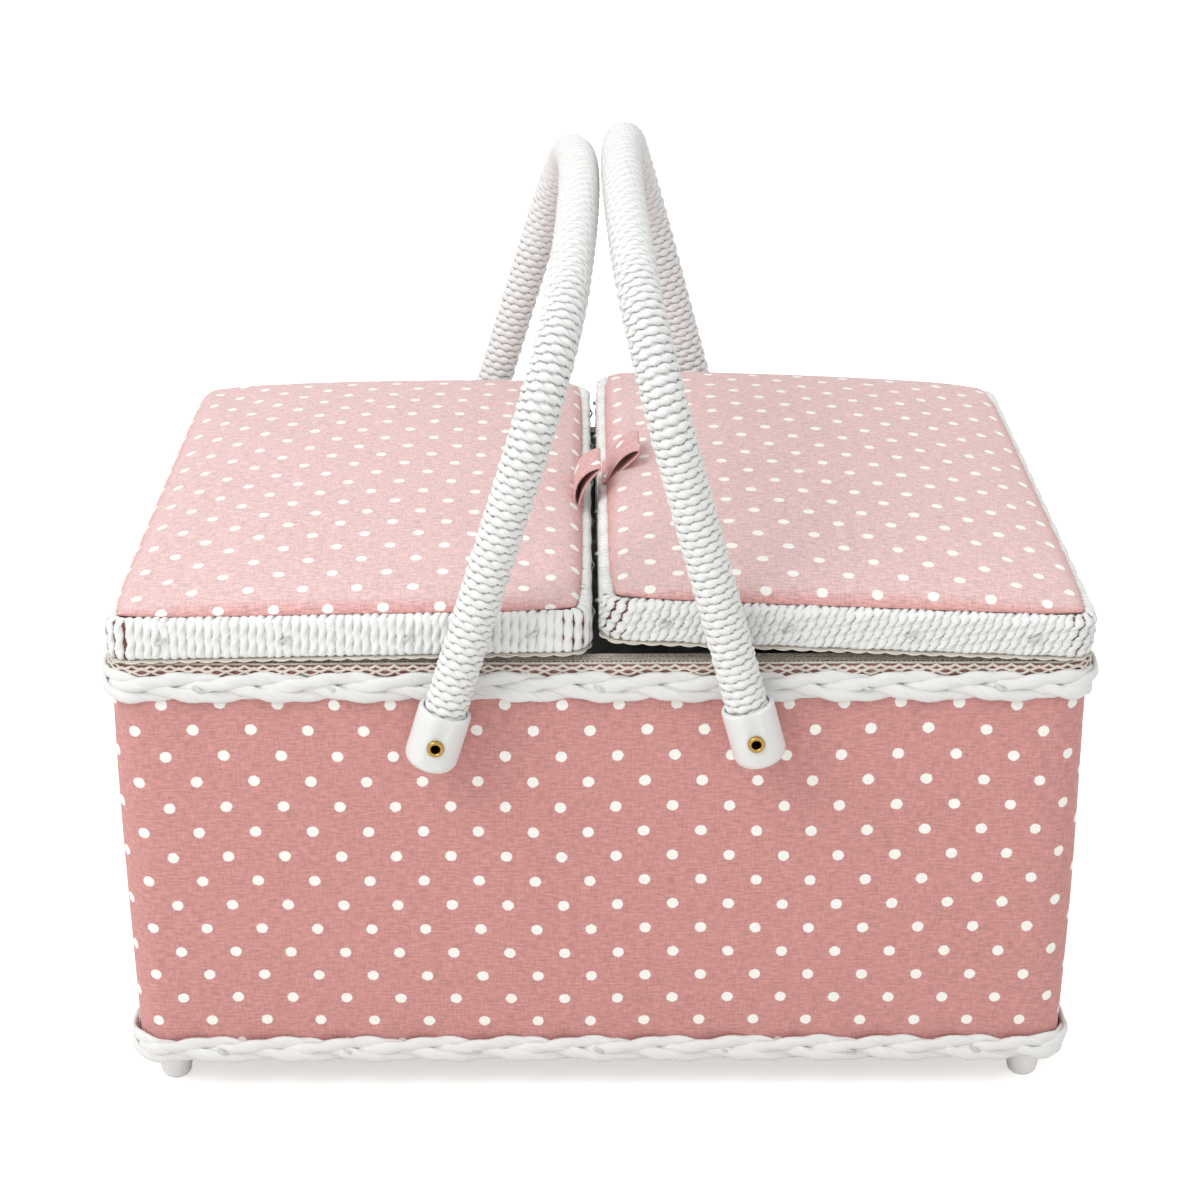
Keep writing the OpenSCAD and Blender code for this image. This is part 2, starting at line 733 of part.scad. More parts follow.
// The pincushion hangs from the right lid and stops on the tray, which holds that lid ajar
module pincushion() {
    drop = hinge_z + lining_z * cos(right_tilt) + pincushion_out * sin(right_tilt) - tray_top - soft_gap;
    ball_r = (pincushion_r * pincushion_r + drop * drop) / (2 * drop);
    color("#d98a93") lid_place(1) intersection() {
        translate([pincushion_out, 0, lining_z - drop + ball_r]) sphere(r = ball_r);
        translate([pincushion_out, 0, lining_z - 2 * drop]) cylinder(r = pincushion_r + eps, h = 2 * drop);
    }
}

// ---------------------------------------------------------------- handles

// Handles stand on their pivot, with the hoop in the YZ plane, and lean about Y
module hoop_place(side) {
    translate([pivot_x(side), 0, pivot_z(side)]) rotate([0, -side * hoop_lean(side), 0]) children();
}

function leg_top(side) = hoop_h(side) - crown_rise - hoop_corner_r * sin(hoop_arc);

// A round bar along the whole hoop, with its legs ending at height z0. A ball a little wider than the
// bar, at each end of each upper corner, joins the stretches into one solid.
module hoop_bar(side, r, z0) {
    top = leg_top(side);
    union() {
        for (s = [-1, 1]) {
            translate([0, s * leg_y, z0]) cylinder(r = r, h = top - z0);
            translate([0, s * leg_y, top]) sphere(r = r + joint_out);
            translate([0, s * crown_end_y, top + hoop_corner_r * sin(hoop_arc)]) sphere(r = r + joint_out);
        }
        rotate([90, 0, 90]) {
            translate([hoop_corner_r - leg_y, top, 0]) rotate([0, 0, 180 - hoop_arc])
                rotate_extrude(angle = hoop_arc) translate([hoop_corner_r, 0]) circle(r = r);
            translate([leg_y - hoop_corner_r, top, 0])
                rotate_extrude(angle = hoop_arc) translate([hoop_corner_r, 0]) circle(r = r);
            translate([0, hoop_h(side) - crown_r, 0]) rotate([0, 0, hoop_arc])
                rotate_extrude(angle = crown_arc) translate([crown_r, 0]) circle(r = r);
        }
    }
}

module handle_core(side) {
    color("tan") hoop_place(side) difference() {
        hoop_bar(side, core_r, core_z);
        bar_y(rivet_r + run_gap, -2 * leg_y, 2 * leg_y);
    }
}

// The hoop's centre line by length from the front winding's lower end: y, z and the angle of the
// direction that points out of the hoop
function winding_leg(side) = leg_top(side) - winding_z;
corner_len = hoop_corner_r * hoop_arc * PI / 180;
crown_len = crown_r * crown_arc * PI / 180;
function winding_len(side) = 2 * winding_leg(side) + 2 * corner_len + crown_len;
function hoop_half(side, s) =
    let (leg = winding_leg(side), corner = s - leg, crown = corner - corner_len)
    corner <= 0 ? [-leg_y, winding_z + s, 180]
    : crown <= 0 ? let (a = 180 - corner / hoop_corner_r * 180 / PI)
        [hoop_corner_r * (1 + cos(a)) - leg_y, leg_top(side) + hoop_corner_r * sin(a), a]
    : let (a = 180 - hoop_arc - crown / crown_r * 180 / PI)
        [crown_r * cos(a), hoop_h(side) - crown_r * (1 - sin(a)), a];
function hoop_line(side, s) =
    s <= winding_len(side) / 2 ? hoop_half(side, s)
    : let (p = hoop_half(side, winding_len(side) - s)) [-p[0], p[1], 180 - p[2]];
// A point at distance r from the centre line, turned by phi round it
function hoop_point(side, s, r, phi) =
    let (p = hoop_line(side, s))
    [r * sin(phi), p[0] + r * cos(phi) * cos(p[2]), p[1] + r * cos(phi) * sin(p[2])];

// The winding is one unbroken ridge that climbs round the hoop from cap to cap, with a bore for the
// core. Each modelled turn stands for two turns of the real cord.
module winding_form(side) {
    n = winding_sides;
    last = n * winding_turns;
    total = winding_len(side);
    pitch = (total - 2 * winding_end) / winding_turns;
    leg = winding_leg(side);
    low_r = winding_r - groove;
    stops = concat(
        [0, leg],
        [for (k = [1 : bore_steps]) leg + corner_len * k / bore_steps],
        [for (k = [1 : bore_steps]) leg + corner_len + crown_len * k / bore_steps],
        [for (k = [1 : bore_steps]) leg + corner_len + crown_len + corner_len * k / bore_steps],
        [total]
    );
    crests = [for (q = [0 : last]) hoop_point(side, winding_end + q * pitch / n, winding_r, q * 360 / n)];
    grooves = [for (q = [0 : last - n])
        hoop_point(side, winding_end + (q + n / 2) * pitch / n, low_r, q * 360 / n)];
    ends = [for (s = [0, total], j = [0 : n - 1]) hoop_point(side, s, winding_r, j * 360 / n)];
    bore = [for (s = stops, j = [0 : n - 1]) hoop_point(side, s, winding_bore, j * 360 / n)];
    g = last + 1;
    e = g + last - n + 1;
    f = e + n;
    b = f + n;
    z = b + n * (len(stops) - 1);
    ridges = [for (q = [0 : last - n - 1]) each [
        [q, g + q, g + q + 1], [q, g + q + 1, q + 1],
        [g + q, q + n, q + n + 1], [g + q, q + n + 1, g + q + 1]
    ]];
    start = concat(
        [for (j = [0 : n - 2]) each [[e + j, j, j + 1], [e + j, j + 1, e + j + 1]]],
        [[e + n - 1, 0, e], [e + n - 1, n, 0], [e + n - 1, n - 1, n], [0, n, g]]
    );
    t = last - n;
    finish = concat(
        [for (j = [1 : n - 1]) each [
            [t + j, f + j, f + (j + 1) % n], [t + j, f + (j + 1) % n, t + j + 1]
        ]],
        [[t + 1, f, f + 1], [t + 1, last, f], [t + 1, t, last], [t, g + t, last]]
    );
    caps = [for (j = [0 : n - 1]) let (k = (j + 1) % n) each [
        [e + j, e + k, b + k], [e + j, b + k, b + j],
        [f + j, z + j, z + k], [f + j, z + k, f + k]
    ]];
    inside = [for (m = [0 : len(stops) - 2], j = [0 : n - 1])
        let (a = b + m * n + j, c = b + m * n + (j + 1) % n) each [[a, c, c + n], [a, c + n, a + n]]];
    echo(str("winding pitch ", pitch, " mm, least wall in a groove ",
             (low_r - winding_bore) * cos(180 / n), " mm"));
    polyhedron(points = concat(crests, grooves, ends, bore),
               faces = concat(ridges, start, finish, caps, inside), convexity = 10);
}

module handle_winding(side) {
    color("#f4f2ee") hoop_place(side) winding_form(side);
}

// End cap: a short moulded cup with flat front and back faces, bored across for the rivet.
// Its half profile has a rounded lower edge and a small lip.
function cap_profile() = concat(
    [[0, -cap_below]],
    [for (a = [0 : 15 : 90]) [cap_r - cap_round * (1 - sin(a)), cap_round * (1 - cos(a)) - cap_below]],
    [for (a = [0 : 30 : 90]) [cap_r - cap_lip * (1 - cos(a)), cap_above - cap_lip * (1 - sin(a))]],
    [[0, cap_above]]
);

module cap(side, s) {
    color("#eef0ee") hoop_place(side) difference() {
        intersection() {
            translate([0, s * leg_y, 0]) rotate_extrude() polygon(cap_profile());
            translate([-cap_d, s * leg_y - cap_flat, -2 * cap_below])
                cube([2 * cap_d, 2 * cap_flat, 3 * (cap_below + cap_above)]);
        }
        translate([0, s * leg_y, core_z]) cylinder(r = core_r + seat_gap, h = 2 * cap_d);
        translate([0, s * leg_y, winding_z - seat_gap]) cylinder(r = winding_r + seat_gap, h = 2 * cap_d);
        bar_y(rivet_r + run_gap, s < 0 ? -2 * leg_y : 0, s < 0 ? 0 : 2 * leg_y);
    }
}

// Tubular rivet, drawn for the front wall: a rolled head outside the cap, a flare inside the box
module rivet(side, s) {
    color("gold") pivot_place(side, s) difference() {
        union() {
            bar_y(rivet_r, -rivet_out - rivet_roll, flare_t - rivet_in);
            bar_y(rivet_head_d / 2, -rivet_out - rivet_roll, -rivet_out);
            translate([0, -rivet_out - rivet_roll, 0]) rotate([90, 0, 0])
                rotate_extrude() translate([rivet_bore_r + rivet_roll, 0]) circle(r = rivet_roll - hair);
            bar_y(flare_r, -rivet_in, flare_t - rivet_in);
        }
        bar_y(rivet_bore_r, -2 * rivet_out, 0);
    }
}

// A ring round each of the four rivets, from y0 inwards on the front wall
module pivot_rings(r, y0, t) {
    for (side = [-1, 1], s = [-1, 1]) pivot_place(side, s) difference() {
        bar_y(r, y0, y0 + t);
        bar_y(rivet_r + run_gap, y0 - eps, y0 + t + eps);
    }
}

module pivot_spacers() {
    color("#e9e7e1") pivot_rings(spacer_r, -body_d / 2 - spacer_t, spacer_t);
}

module pivot_washers() {
    color("gold") pivot_rings(washer_r, -well_d / 2, washer_t);
}

// ---------------------------------------------------------------- nodes

base_board();
long_panel(-1);  // front_panel
long_panel(1);  // back_panel
short_panel(-1);  // left_panel
short_panel(1);  // right_panel
body_cover();
body_lining();
top_braid();
bottom_braid();
wall_lace();
braid_staples();
foot(-1, -1);  // foot_front_left
foot(1, -1);  // foot_front_right
foot(-1, 1);  // foot_back_left
foot(1, 1);  // foot_back_right
foot_screws();
tray();
tray_rests();
hinge_body_leaves(-1);  // left_hinge_body_leaves
hinge_body_leaves(1);  // right_hinge_body_leaves
hinge_pins(-1);  // left_hinge_pins
hinge_pins(1);  // right_hinge_pins
hinge_body_screws();
rivet(-1, -1);  // left_front_rivet
rivet(-1, 1);  // left_back_rivet
rivet(1, -1);  // right_front_rivet
rivet(1, 1);  // right_back_rivet
pivot_spacers();
pivot_washers();
handle_core(-1);  // left_handle_core
handle_winding(-1);  // left_handle_winding
cap(-1, -1);  // left_front_cap
cap(-1, 1);  // left_back_cap
handle_core(1);  // right_handle_core
handle_winding(1);  // right_handle_winding
cap(1, -1);  // right_front_cap
cap(1, 1);  // right_back_cap
lid_frame(-1);  // left_lid_frame
lid_binding(-1);  // left_lid_binding
lid_board(-1);  // left_lid_board
lid_pad(-1);  // left_lid_pad
lid_lining(-1);  // left_lid_lining
lid_lace(-1);  // left_lid_lace
lid_staples(-1);  // left_lid_staples
pull_tab(-1, -left_tab_lean, left_tab_front);  // left_pull_tab
hinge_lid_leaves(-1);  // left_hinge_lid_leaves
hinge_lid_screws(-1);  // left_hinge_lid_screws
notions_pocket();
lid_frame(1);  // right_lid_frame
lid_binding(1);  // right_lid_binding
lid_board(1);  // right_lid_board
lid_pad(1);  // right_lid_pad
lid_lining(1);  // right_lid_lining
lid_lace(1);  // right_lid_lace
lid_staples(1);  // right_lid_staples
pull_tab(1, right_tab_lean, right_tab_front);  // right_pull_tab
hinge_lid_leaves(1);  // right_hinge_lid_leaves
hinge_lid_screws(1);  // right_hinge_lid_screws
pincushion();
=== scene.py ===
"""Dresses the sewing carrier: padded dotted cotton, plaited and wound paper cord, lace, and the stage."""
import json
import math

import bpy
import numpy as np
from mathutils import Matrix, Vector


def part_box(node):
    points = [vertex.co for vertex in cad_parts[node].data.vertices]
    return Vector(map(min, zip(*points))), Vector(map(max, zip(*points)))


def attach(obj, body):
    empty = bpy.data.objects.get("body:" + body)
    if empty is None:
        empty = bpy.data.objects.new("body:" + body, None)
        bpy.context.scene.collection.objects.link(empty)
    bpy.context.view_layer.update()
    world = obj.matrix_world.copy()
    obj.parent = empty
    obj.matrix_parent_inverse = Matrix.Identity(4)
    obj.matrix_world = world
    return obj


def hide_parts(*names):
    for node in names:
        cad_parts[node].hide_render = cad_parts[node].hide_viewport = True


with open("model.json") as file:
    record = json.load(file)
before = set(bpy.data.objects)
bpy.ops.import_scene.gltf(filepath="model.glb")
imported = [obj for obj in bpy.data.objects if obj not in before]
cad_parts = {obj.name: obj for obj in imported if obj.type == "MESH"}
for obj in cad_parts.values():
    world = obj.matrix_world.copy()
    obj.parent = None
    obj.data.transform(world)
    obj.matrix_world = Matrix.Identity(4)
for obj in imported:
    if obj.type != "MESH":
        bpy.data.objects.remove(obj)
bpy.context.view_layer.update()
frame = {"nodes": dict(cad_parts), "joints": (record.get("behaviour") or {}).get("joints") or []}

bl_info = {
    "name": "Sewing carrier",
    "version": (1, 0, 0),
    "blender": (4, 5, 0),
    "location": "3D View > Sidebar > Carrier",
    "description": "Padded covers, plaits, lace, wound handles and finishes of a sewing carrier",
    "category": "Object",
}

MM = 0.001
# Scale at which a wave pattern repeats once in a unit of its coordinates
ONE_WAVE = 0.314
JOINTS = {joint["name"]: joint for joint in frame["joints"]}

# The box, in millimetres
WALL_CORNER, PLAIT_CORNER = 11.0, 13.2
# Where a dot of the walls lies: round from the middle of the front, and up from the floor
WALL_DOT = (3.85, 161.3)

# Lids, in millimetres from the hinge's axis towards the other lid and up
RIM_IN = 3.7
RIM_OUT = {"left": 186.3, "right": 190.1}
RIM_MID = {side: (RIM_IN + out) / 2 for side, out in RIM_OUT.items()}
RIM_DEEP = 270
RIM_LOW, RIM_HIGH = 1.2, 17.7
RIM_THICK = 6.5
RIM_CORNER = 10
PAD_WIDE, PAD_DEEP = {"left": 169.4, "right": 173.2}, 256.8
PAD_LOW, PAD_EDGE, PAD_CROWN = 8.4, 16.2, 28.2
LINING_LOW = 3.2
# Where the lids' dots lie, from the middle of each pad
DOT_SHIFT = {"left": (6.9, 4.0), "right": (-9.8, 0.6)}
# The filling draws the lids' dots this much closer along the box
DOT_DRAW = {"left": 1.034, "right": 1.014}
# Step of the cloth map down the pads' skirts, in metres
DROP = 0.0025
TILT = {"left": 1.0, "right": 2.5}

# Handles, in millimetres
LEG_Y = 146.5
HOOP_HIGH = {"left": 182.0, "right": 184.5}
HOOP_LEAN = {"left": 17.046, "right": 15.16}
HOOP_CORNER = 57.0
HOOP_ARC = math.radians(75)
WINDING_LOW, WINDING_R = 4.3, 6.95
CAP_BELOW, CAP_ABOVE, CAP_R, CAP_FLAT = 12.0, 12.3, 10.0, 9.2

SIDES = {"left": -1, "right": 1}

# Feet, in metres
FOOT_LOW_R, FOOT_TOP_R, FOOT_HOLE_R = 0.0055, 0.008, 0.00175


# ---------------------------------------------------------------- sizes and colours


def length(name, text, value):
    """A length in millimetres that a user can change."""
    return bpy.props.FloatProperty(name=name, description=text, default=value, min=0.0)


def colour(name, text, code):
    """A colour that a user can change, written as an sRGB code."""
    return bpy.props.FloatVectorProperty(
        name=name, description=text, subtype="COLOR", size=3, min=0.0, max=1.0, default=linear(code)[:3]
    )


def linear(code):
    """An sRGB hex colour as linear RGBA."""
    parts = [int(code[i : i + 2], 16) / 255 for i in (1, 3, 5)]
    return [c / 12.92 if c <= 0.04045 else ((c + 0.055) / 1.055) ** 2.4 for c in parts] + [1.0]


class CarrierSizes(bpy.types.PropertyGroup):
    cord_wide: length("Cord width", "Width of the wound paper cord, mm", 3.25)
    cord_ply: length("Cord twist", "Length of one turn of the cord's two plies, mm", 11.0)
    plait_repeat: length("Plait repeat", "Length in which a strand of a plait comes back, mm", 92.0)
    plait_strand: length("Plait strand", "Width of a plait's strand, mm", 6.0)
    dot_wide: length("Dot diameter", "Diameter of the printed dots, mm", 4.4)
    dot_pitch: length("Dot pitch", "Distance between the dots of one row, mm", 21.4)
    weave: length("Weave", "Distance between drawn threads of the cotton, mm", 0.6)
    wall_puff: length("Wall padding", "How far the padded cover swells between the plaits, mm", 1.4)
    scallop: length("Scallop", "Width of one scallop of the lace, mm", 7.0)


class CarrierColours(bpy.types.PropertyGroup):
    wall_pink: colour("Wall cotton", "Cotton of the walls", "#c9908c")
    # The lid colour is the wall cotton painted lighter, as if lit strongly from above
    lid_pink_lit_from_above: colour("Lid cotton", "Cotton of the lids, faded where it lies level", "#dcbcba")
    # The edge colour is the same cotton painted deeper, as shade where less light falls
    edge_pink_in_shade: colour("Lid edge", "The same cotton on the lids' steep edges", "#d79f9b")
    tab_pink: colour("Tab cotton", "Cotton of the pull tabs", "#d7a9a6")
    dot: colour("Dots", "Printed dots", "#f4f2ec")
    cream: colour("Cream cotton", "Lining and pocket", "#f0e8da")
    cord: colour("Paper cord", "Cord of the handles and rims", "#eeefed")
    plait_cord: colour("Plaited cord", "Thicker cord of the plaits", "#e4e4e2")
    lace: colour("Lace", "Crocheted cotton", "#ddd5c9")
    board: colour("Fibreboard", "Walls and floor boards", "#8f6a48")
    # Pink cloth round the rims' cane, painted dark red-brown as the shade it lies in under the cord
    rim_cloth_in_shade: colour("Rim core", "Cloth-covered cane under the rims' cord", "#7c4038")
    paint: colour("Painted wood", "Feet", "#e9e9e6")
    tray: colour("Tray", "Lift-out tray", "#e6eaea")
    cap: colour("Caps", "Milky end caps", "#dcdddb")
    wire: colour("Wire", "Galvanised staples", "#dcdede")
    brass: colour("Brass", "Rivets and hinges", "#c9a45a")


# ---------------------------------------------------------------- materials


def add(material, kind, sockets=None, **settings):
    """Adds a node; a socket's value is a number, a colour or another node's output."""
    node = material.node_tree.nodes.new(kind)
    for name, value in settings.items():
        setattr(node, name, value)
    for name, value in (sockets or {}).items():
        if isinstance(value, bpy.types.NodeSocket):
            material.node_tree.links.new(value, node.inputs[name])
        else:
            node.inputs[name].default_value = value
    return node


def cleared(block):
    """A new material or world, without its nodes."""
    block.use_nodes = True
    block.node_tree.nodes.clear()
    return block


def start(name, shader):
    """A new material with one Principled shader, whose plain values are set on its own sockets."""
    material = cleared(bpy.data.materials.new(name))
    surface = add(material, "ShaderNodeBsdfPrincipled", shader)
    add(material, "ShaderNodeOutputMaterial", {"Surface": surface.outputs[0]})
    return material, surface


def tone(value, factor):
    """A colour made lighter or darker."""
    return [min(1.0, c * factor) for c in value[:3]] + [1.0]


def noise(material, vector, scale, detail, stretch=None, rough=0.5):
    """A noise pattern's value and colour; stretch scales its coordinates by one factor per axis."""
    if stretch:
        vector = add(material, "ShaderNodeMapping", {"Vector": vector, "Scale": stretch}).outputs[0]
    return add(material, "ShaderNodeTexNoise", {"Vector": vector, "Scale": scale, "Detail": detail,
                                                "Roughness": rough}).outputs


def ramp(material, value, low, high, first=0.0, last=1.0):
    """A value mapped from one range to another."""
    return add(material, "ShaderNodeMapRange", {"Value": value, "From Min": low, "From Max": high,
                                                "To Min": first, "To Max": last}).outputs[0]


def maths(material, operation, *values):
    """A sum, product or the like of numbers."""
    return add(material, "ShaderNodeMath", dict(enumerate(values)), operation=operation).outputs[0]


def vectors(material, operation, sockets):
    """The same for vectors."""
    return add(material, "ShaderNodeVectorMath", sockets, operation=operation).outputs


def surfaced(material, surface, base, height, strength, distance, rough=None):
    """Links a colour, a relief and a roughness to the shader."""
    bump = add(material, "ShaderNodeBump", {"Height": height, "Strength": strength, "Distance": distance})
    for name, socket in (("Base Color", base), ("Normal", bump.outputs[0]), ("Roughness", rough)):
        if socket is not None:
            material.node_tree.links.new(socket, surface.inputs[name])
    return material


def mixed(material, factor, first, second):
    """Two colours mixed by a factor."""
    node = add(material, "ShaderNodeMix", data_type="RGBA")
    for name, value in ((0, factor), (6, first), (7, second)):
        if isinstance(value, bpy.types.NodeSocket):
            material.node_tree.links.new(value, node.inputs[name])
        else:
            node.inputs[name].default_value = value
    return node.outputs[2]


def own_place(material):
    """The piece's own coordinates, in metres."""
    return add(material, "ShaderNodeTexCoord").outputs["Object"]


def woven_cotton(name, ground, dot, sizes, dotted=True, edge_shade_ground=None):
    """Plain-woven printed cotton. Its matt yarn shows as a fine grid with darker slubs along the weft,
    and the pigment dots sit in the yarn with slightly ragged edges. Real yarn is 0.4 mm apart; it is
    drawn at 0.6 mm, because the real spacing is finer than the picture."""
    material, surface = start(name, {"Roughness": 0.86, "Sheen Weight": 0.12, "Sheen Roughness": 0.5,
                                     "Specular IOR Level": 0.25})
    cloth = add(material, "ShaderNodeUVMap", uv_map="cloth").outputs[0]
    ground = list(ground)[:3] + [1.0]
    # Slubs: thick places about 4 mm long in the weft, and softer ones in the warp
    weft, warp = (noise(material, cloth, 1.0, 2.0, stretch)[0]
                  for stretch in ((240, 1200, 1), (1200, 240, 1)))
    slub = ramp(material, maths(material, "MULTIPLY_ADD", warp, 0.6, weft), 0.6, 1.0)
    yarn = mixed(material, slub, tone(ground, 0.8), tone(ground, 1.16))
    wash = ramp(material, noise(material, cloth, 28.0, 1.0)[0], 0.3, 0.7, last=0.12)
    base = mixed(material, wash, yarn, tone(ground, 1.2))
    if edge_shade_ground is not None:
        # Painted light: level cloth takes the lighter lid colour, as if lit strongly from above, and steep
        # edges take a deeper pink as painted shade
        facing = add(material, "ShaderNodeTexCoord").outputs["Normal"]
        facing = add(material, "ShaderNodeSeparateXYZ", {0: facing}).outputs[2]
        deep = mixed(material, slub, tone(edge_shade_ground, 0.74), tone(edge_shade_ground, 1.2))
        base = mixed(material, ramp(material, facing, 0.5, 0.92), deep, base)
    # Threads over and under each other, with painted shade darkening the ground a little where they dip
    scale = ONE_WAVE / (sizes.weave * MM)
    threads = maths(material, "MULTIPLY", *(
        add(material, "ShaderNodeTexWave", {"Vector": cloth, "Scale": scale}, bands_direction=way).outputs[1]
        for way in "XY"))
    base = mixed(material, threads, mixed(material, 0.12, base, tone(ground, 0.6)), base)
    if dotted:
        # The print's ragged edges, and how far the cloth was pulled out of true
        spot = cloth
        for wander, reach in ((noise(material, cloth, 900.0, 1.0)[1], 0.0006),
                              (noise(material, cloth, 14.0, 0.0)[1], 0.0035)):
            wander = vectors(material, "ADD", {0: wander, 1: (-0.5, -0.5, -0.5)})[0]
            wander = vectors(material, "SCALE", {0: wander, "Scale": reach})[0]
            spot = vectors(material, "ADD", {0: spot, 1: wander})[0]
        reach = []
        per_pitch = 1 / (sizes.dot_pitch * MM)
        for half in (0.5, 1.0):
            cell = add(material, "ShaderNodeMapping", {"Vector": spot, "Location": (half, half, 0),
                                                       "Scale": (per_pitch, per_pitch, 0)}).outputs[0]
            cell = vectors(material, "FRACTION", {0: cell})[0]
            reach.append(vectors(material, "DISTANCE", {0: cell, 1: (0.5, 0.5, 0)})["Value"])
        edge = sizes.dot_wide / 2 / sizes.dot_pitch
        printed = ramp(material, maths(material, "MINIMUM", *reach), edge * 0.93, edge * 1.07, 1.0, 0.0)
        white = mixed(material, slub, tone(dot, 0.93), list(dot)[:3] + [1.0])
        base = mixed(material, printed, base, white)
    return surfaced(material, surface, base, maths(material, "ADD", threads, slub), 0.35, 0.00015)


def twisted_paper_cord(name, paper):
    """Twisted paper cord: kraft paper spun in narrow strips and bleached. It is matt with a faint
    sheen on its creases, and its creases run along the ply."""
    material, surface = start(name, {"Roughness": 0.72, "Specular IOR Level": 0.35, "Sheen Weight": 0.05})
    # The map runs round the cord from 0 to 1 and along it in metres; creases are 0.4 mm by 9 mm
    cord = add(material, "ShaderNodeUVMap", uv_map="cloth").outputs[0]
    crease_and_shade = noise(material, cord, 1.0, 3.0, (16, 110, 1), 0.6)[0]
    strip = noise(material, cord, 1.0, 1.0, (0.6, 28, 1))[0]
    # Painted shade: the paper is darker in the creases' hollows, where the relief sinks, besides its own
    # streaks
    base = mixed(material, ramp(material, crease_and_shade, 0.32, 0.66), tone(paper, 0.9), list(paper)[:3] + [1.0])
    base = mixed(material, ramp(material, strip, 0.35, 0.7, last=0.5), base, tone(paper, 0.95))
    return surfaced(material, surface, base, crease_and_shade, 0.7, 0.0004)


def crocheted_cotton(name, yarn):
    """Mercerised cotton crochet: a tight, slightly shiny yarn of two plies, 0.5 mm to a twist."""
    material, surface = start(name, {"Roughness": 0.7, "Sheen Weight": 0.2, "Specular IOR Level": 0.3})
    cord = add(material, "ShaderNodeUVMap", uv_map="cloth").outputs[0]
    twist = add(material, "ShaderNodeMapping", {"Vector": cord, "Scale": (1, 900, 1)}).outputs[0]
    twist = add(material, "ShaderNodeTexWave", {"Vector": twist, "Scale": ONE_WAVE},
                bands_direction="DIAGONAL").outputs[1]
    shade = noise(material, own_place(material), 160.0, 2.0)[0]
    base = mixed(material, shade, tone(yarn, 0.82), tone(yarn, 1.05))
    return surfaced(material, surface, base, twist, 0.5, 0.0002)


def pressed_fibreboard(name, ground):
    """Hardboard pressed from wood fibre: brown, matt, with short lighter and darker fibres."""
    material, surface = start(name, {"Roughness": 0.8})
    place = own_place(material)
    fibre = noise(material, place, 650.0, 4.0, rough=0.7)[0]
    base = mixed(material, fibre, tone(ground, 0.7), tone(ground, 1.25))
    base = mixed(material, noise(material, place, 35.0, 2.0)[0], base, tone(ground, 0.92))
    return surfaced(material, surface, base, fibre, 0.3, 0.0002)


def bent_cane(name, ground):
    """Rattan cane bent while steamed: straw-coloured skin with long pores along the stem."""
    material, surface = start(name, {"Roughness": 0.55})
    pores = noise(material, own_place(material), 420.0, 3.0)[0]
    base = mixed(material, pores, tone(ground, 0.75), tone(ground, 1.15))
    return surfaced(material, surface, base, pores, 0.3, 0.0002)


def painted_wood(name, paint):
    """Turned wood under white gloss paint: smooth with a faint orange peel, and darker over its lowest 2 mm.
    """
    material, surface = start(name, {"Roughness": 0.35, "Coat Weight": 0.2, "Coat Roughness": 0.2})
    place = own_place(material)
    base = mixed(material, noise(material, place, 120.0, 3.0)[0], tone(paint, 0.93), tone(paint, 1.04))
    height = add(material, "ShaderNodeSeparateXYZ", {0: place}).outputs[2]
    # Darker towards the bottom, over the lowest 2 mm
    base = mixed(material, ramp(material, height, 0.0, 0.002, 0.6, 0.0), base, tone(paint, 0.72))
    return surfaced(material, surface, base, noise(material, place, 700.0, 1.0)[0], 0.12, 0.0002)


def moulded_plastic(name, ground, rough, milky):
    """Injection-moulded polypropylene: an even, slightly waxy skin with fine spark grain. The milky
    kind lets light a little way in."""
    material, surface = start(name, {"Roughness": rough, "IOR": 1.49, "Subsurface Scale": 1.0,
                                     "Subsurface Weight": 0.35 if milky else 0.05,
                                     "Subsurface Radius": (0.004, 0.004, 0.004)})
    place = own_place(material)
    base = mixed(material, noise(material, place, 60.0, 2.0)[0], tone(ground, 0.95), tone(ground, 1.03))
    return surfaced(material, surface, base, noise(material, place, 1400.0, 1.0)[0], 0.08, 0.0001)


def metal(name, ground, rough, stain):
    """Drawn and stamped metal: fine scratches along the draw, and a duller stain in patches."""
    material, surface = start(name, {"Metallic": 1.0})
    place = own_place(material)
    scratch = noise(material, place, 900.0, 3.0, (1, 1, 8))[0]
    patch = noise(material, place, 240.0, 3.0)[0]
    base = mixed(material, patch, list(ground)[:3] + [1.0], tone(ground, stain))
    dull = ramp(material, scratch, 0.3, 0.7, rough, rough + 0.2)
    return surfaced(material, surface, base, scratch, 0.1, 0.0001, dull)


FINISHES = {}


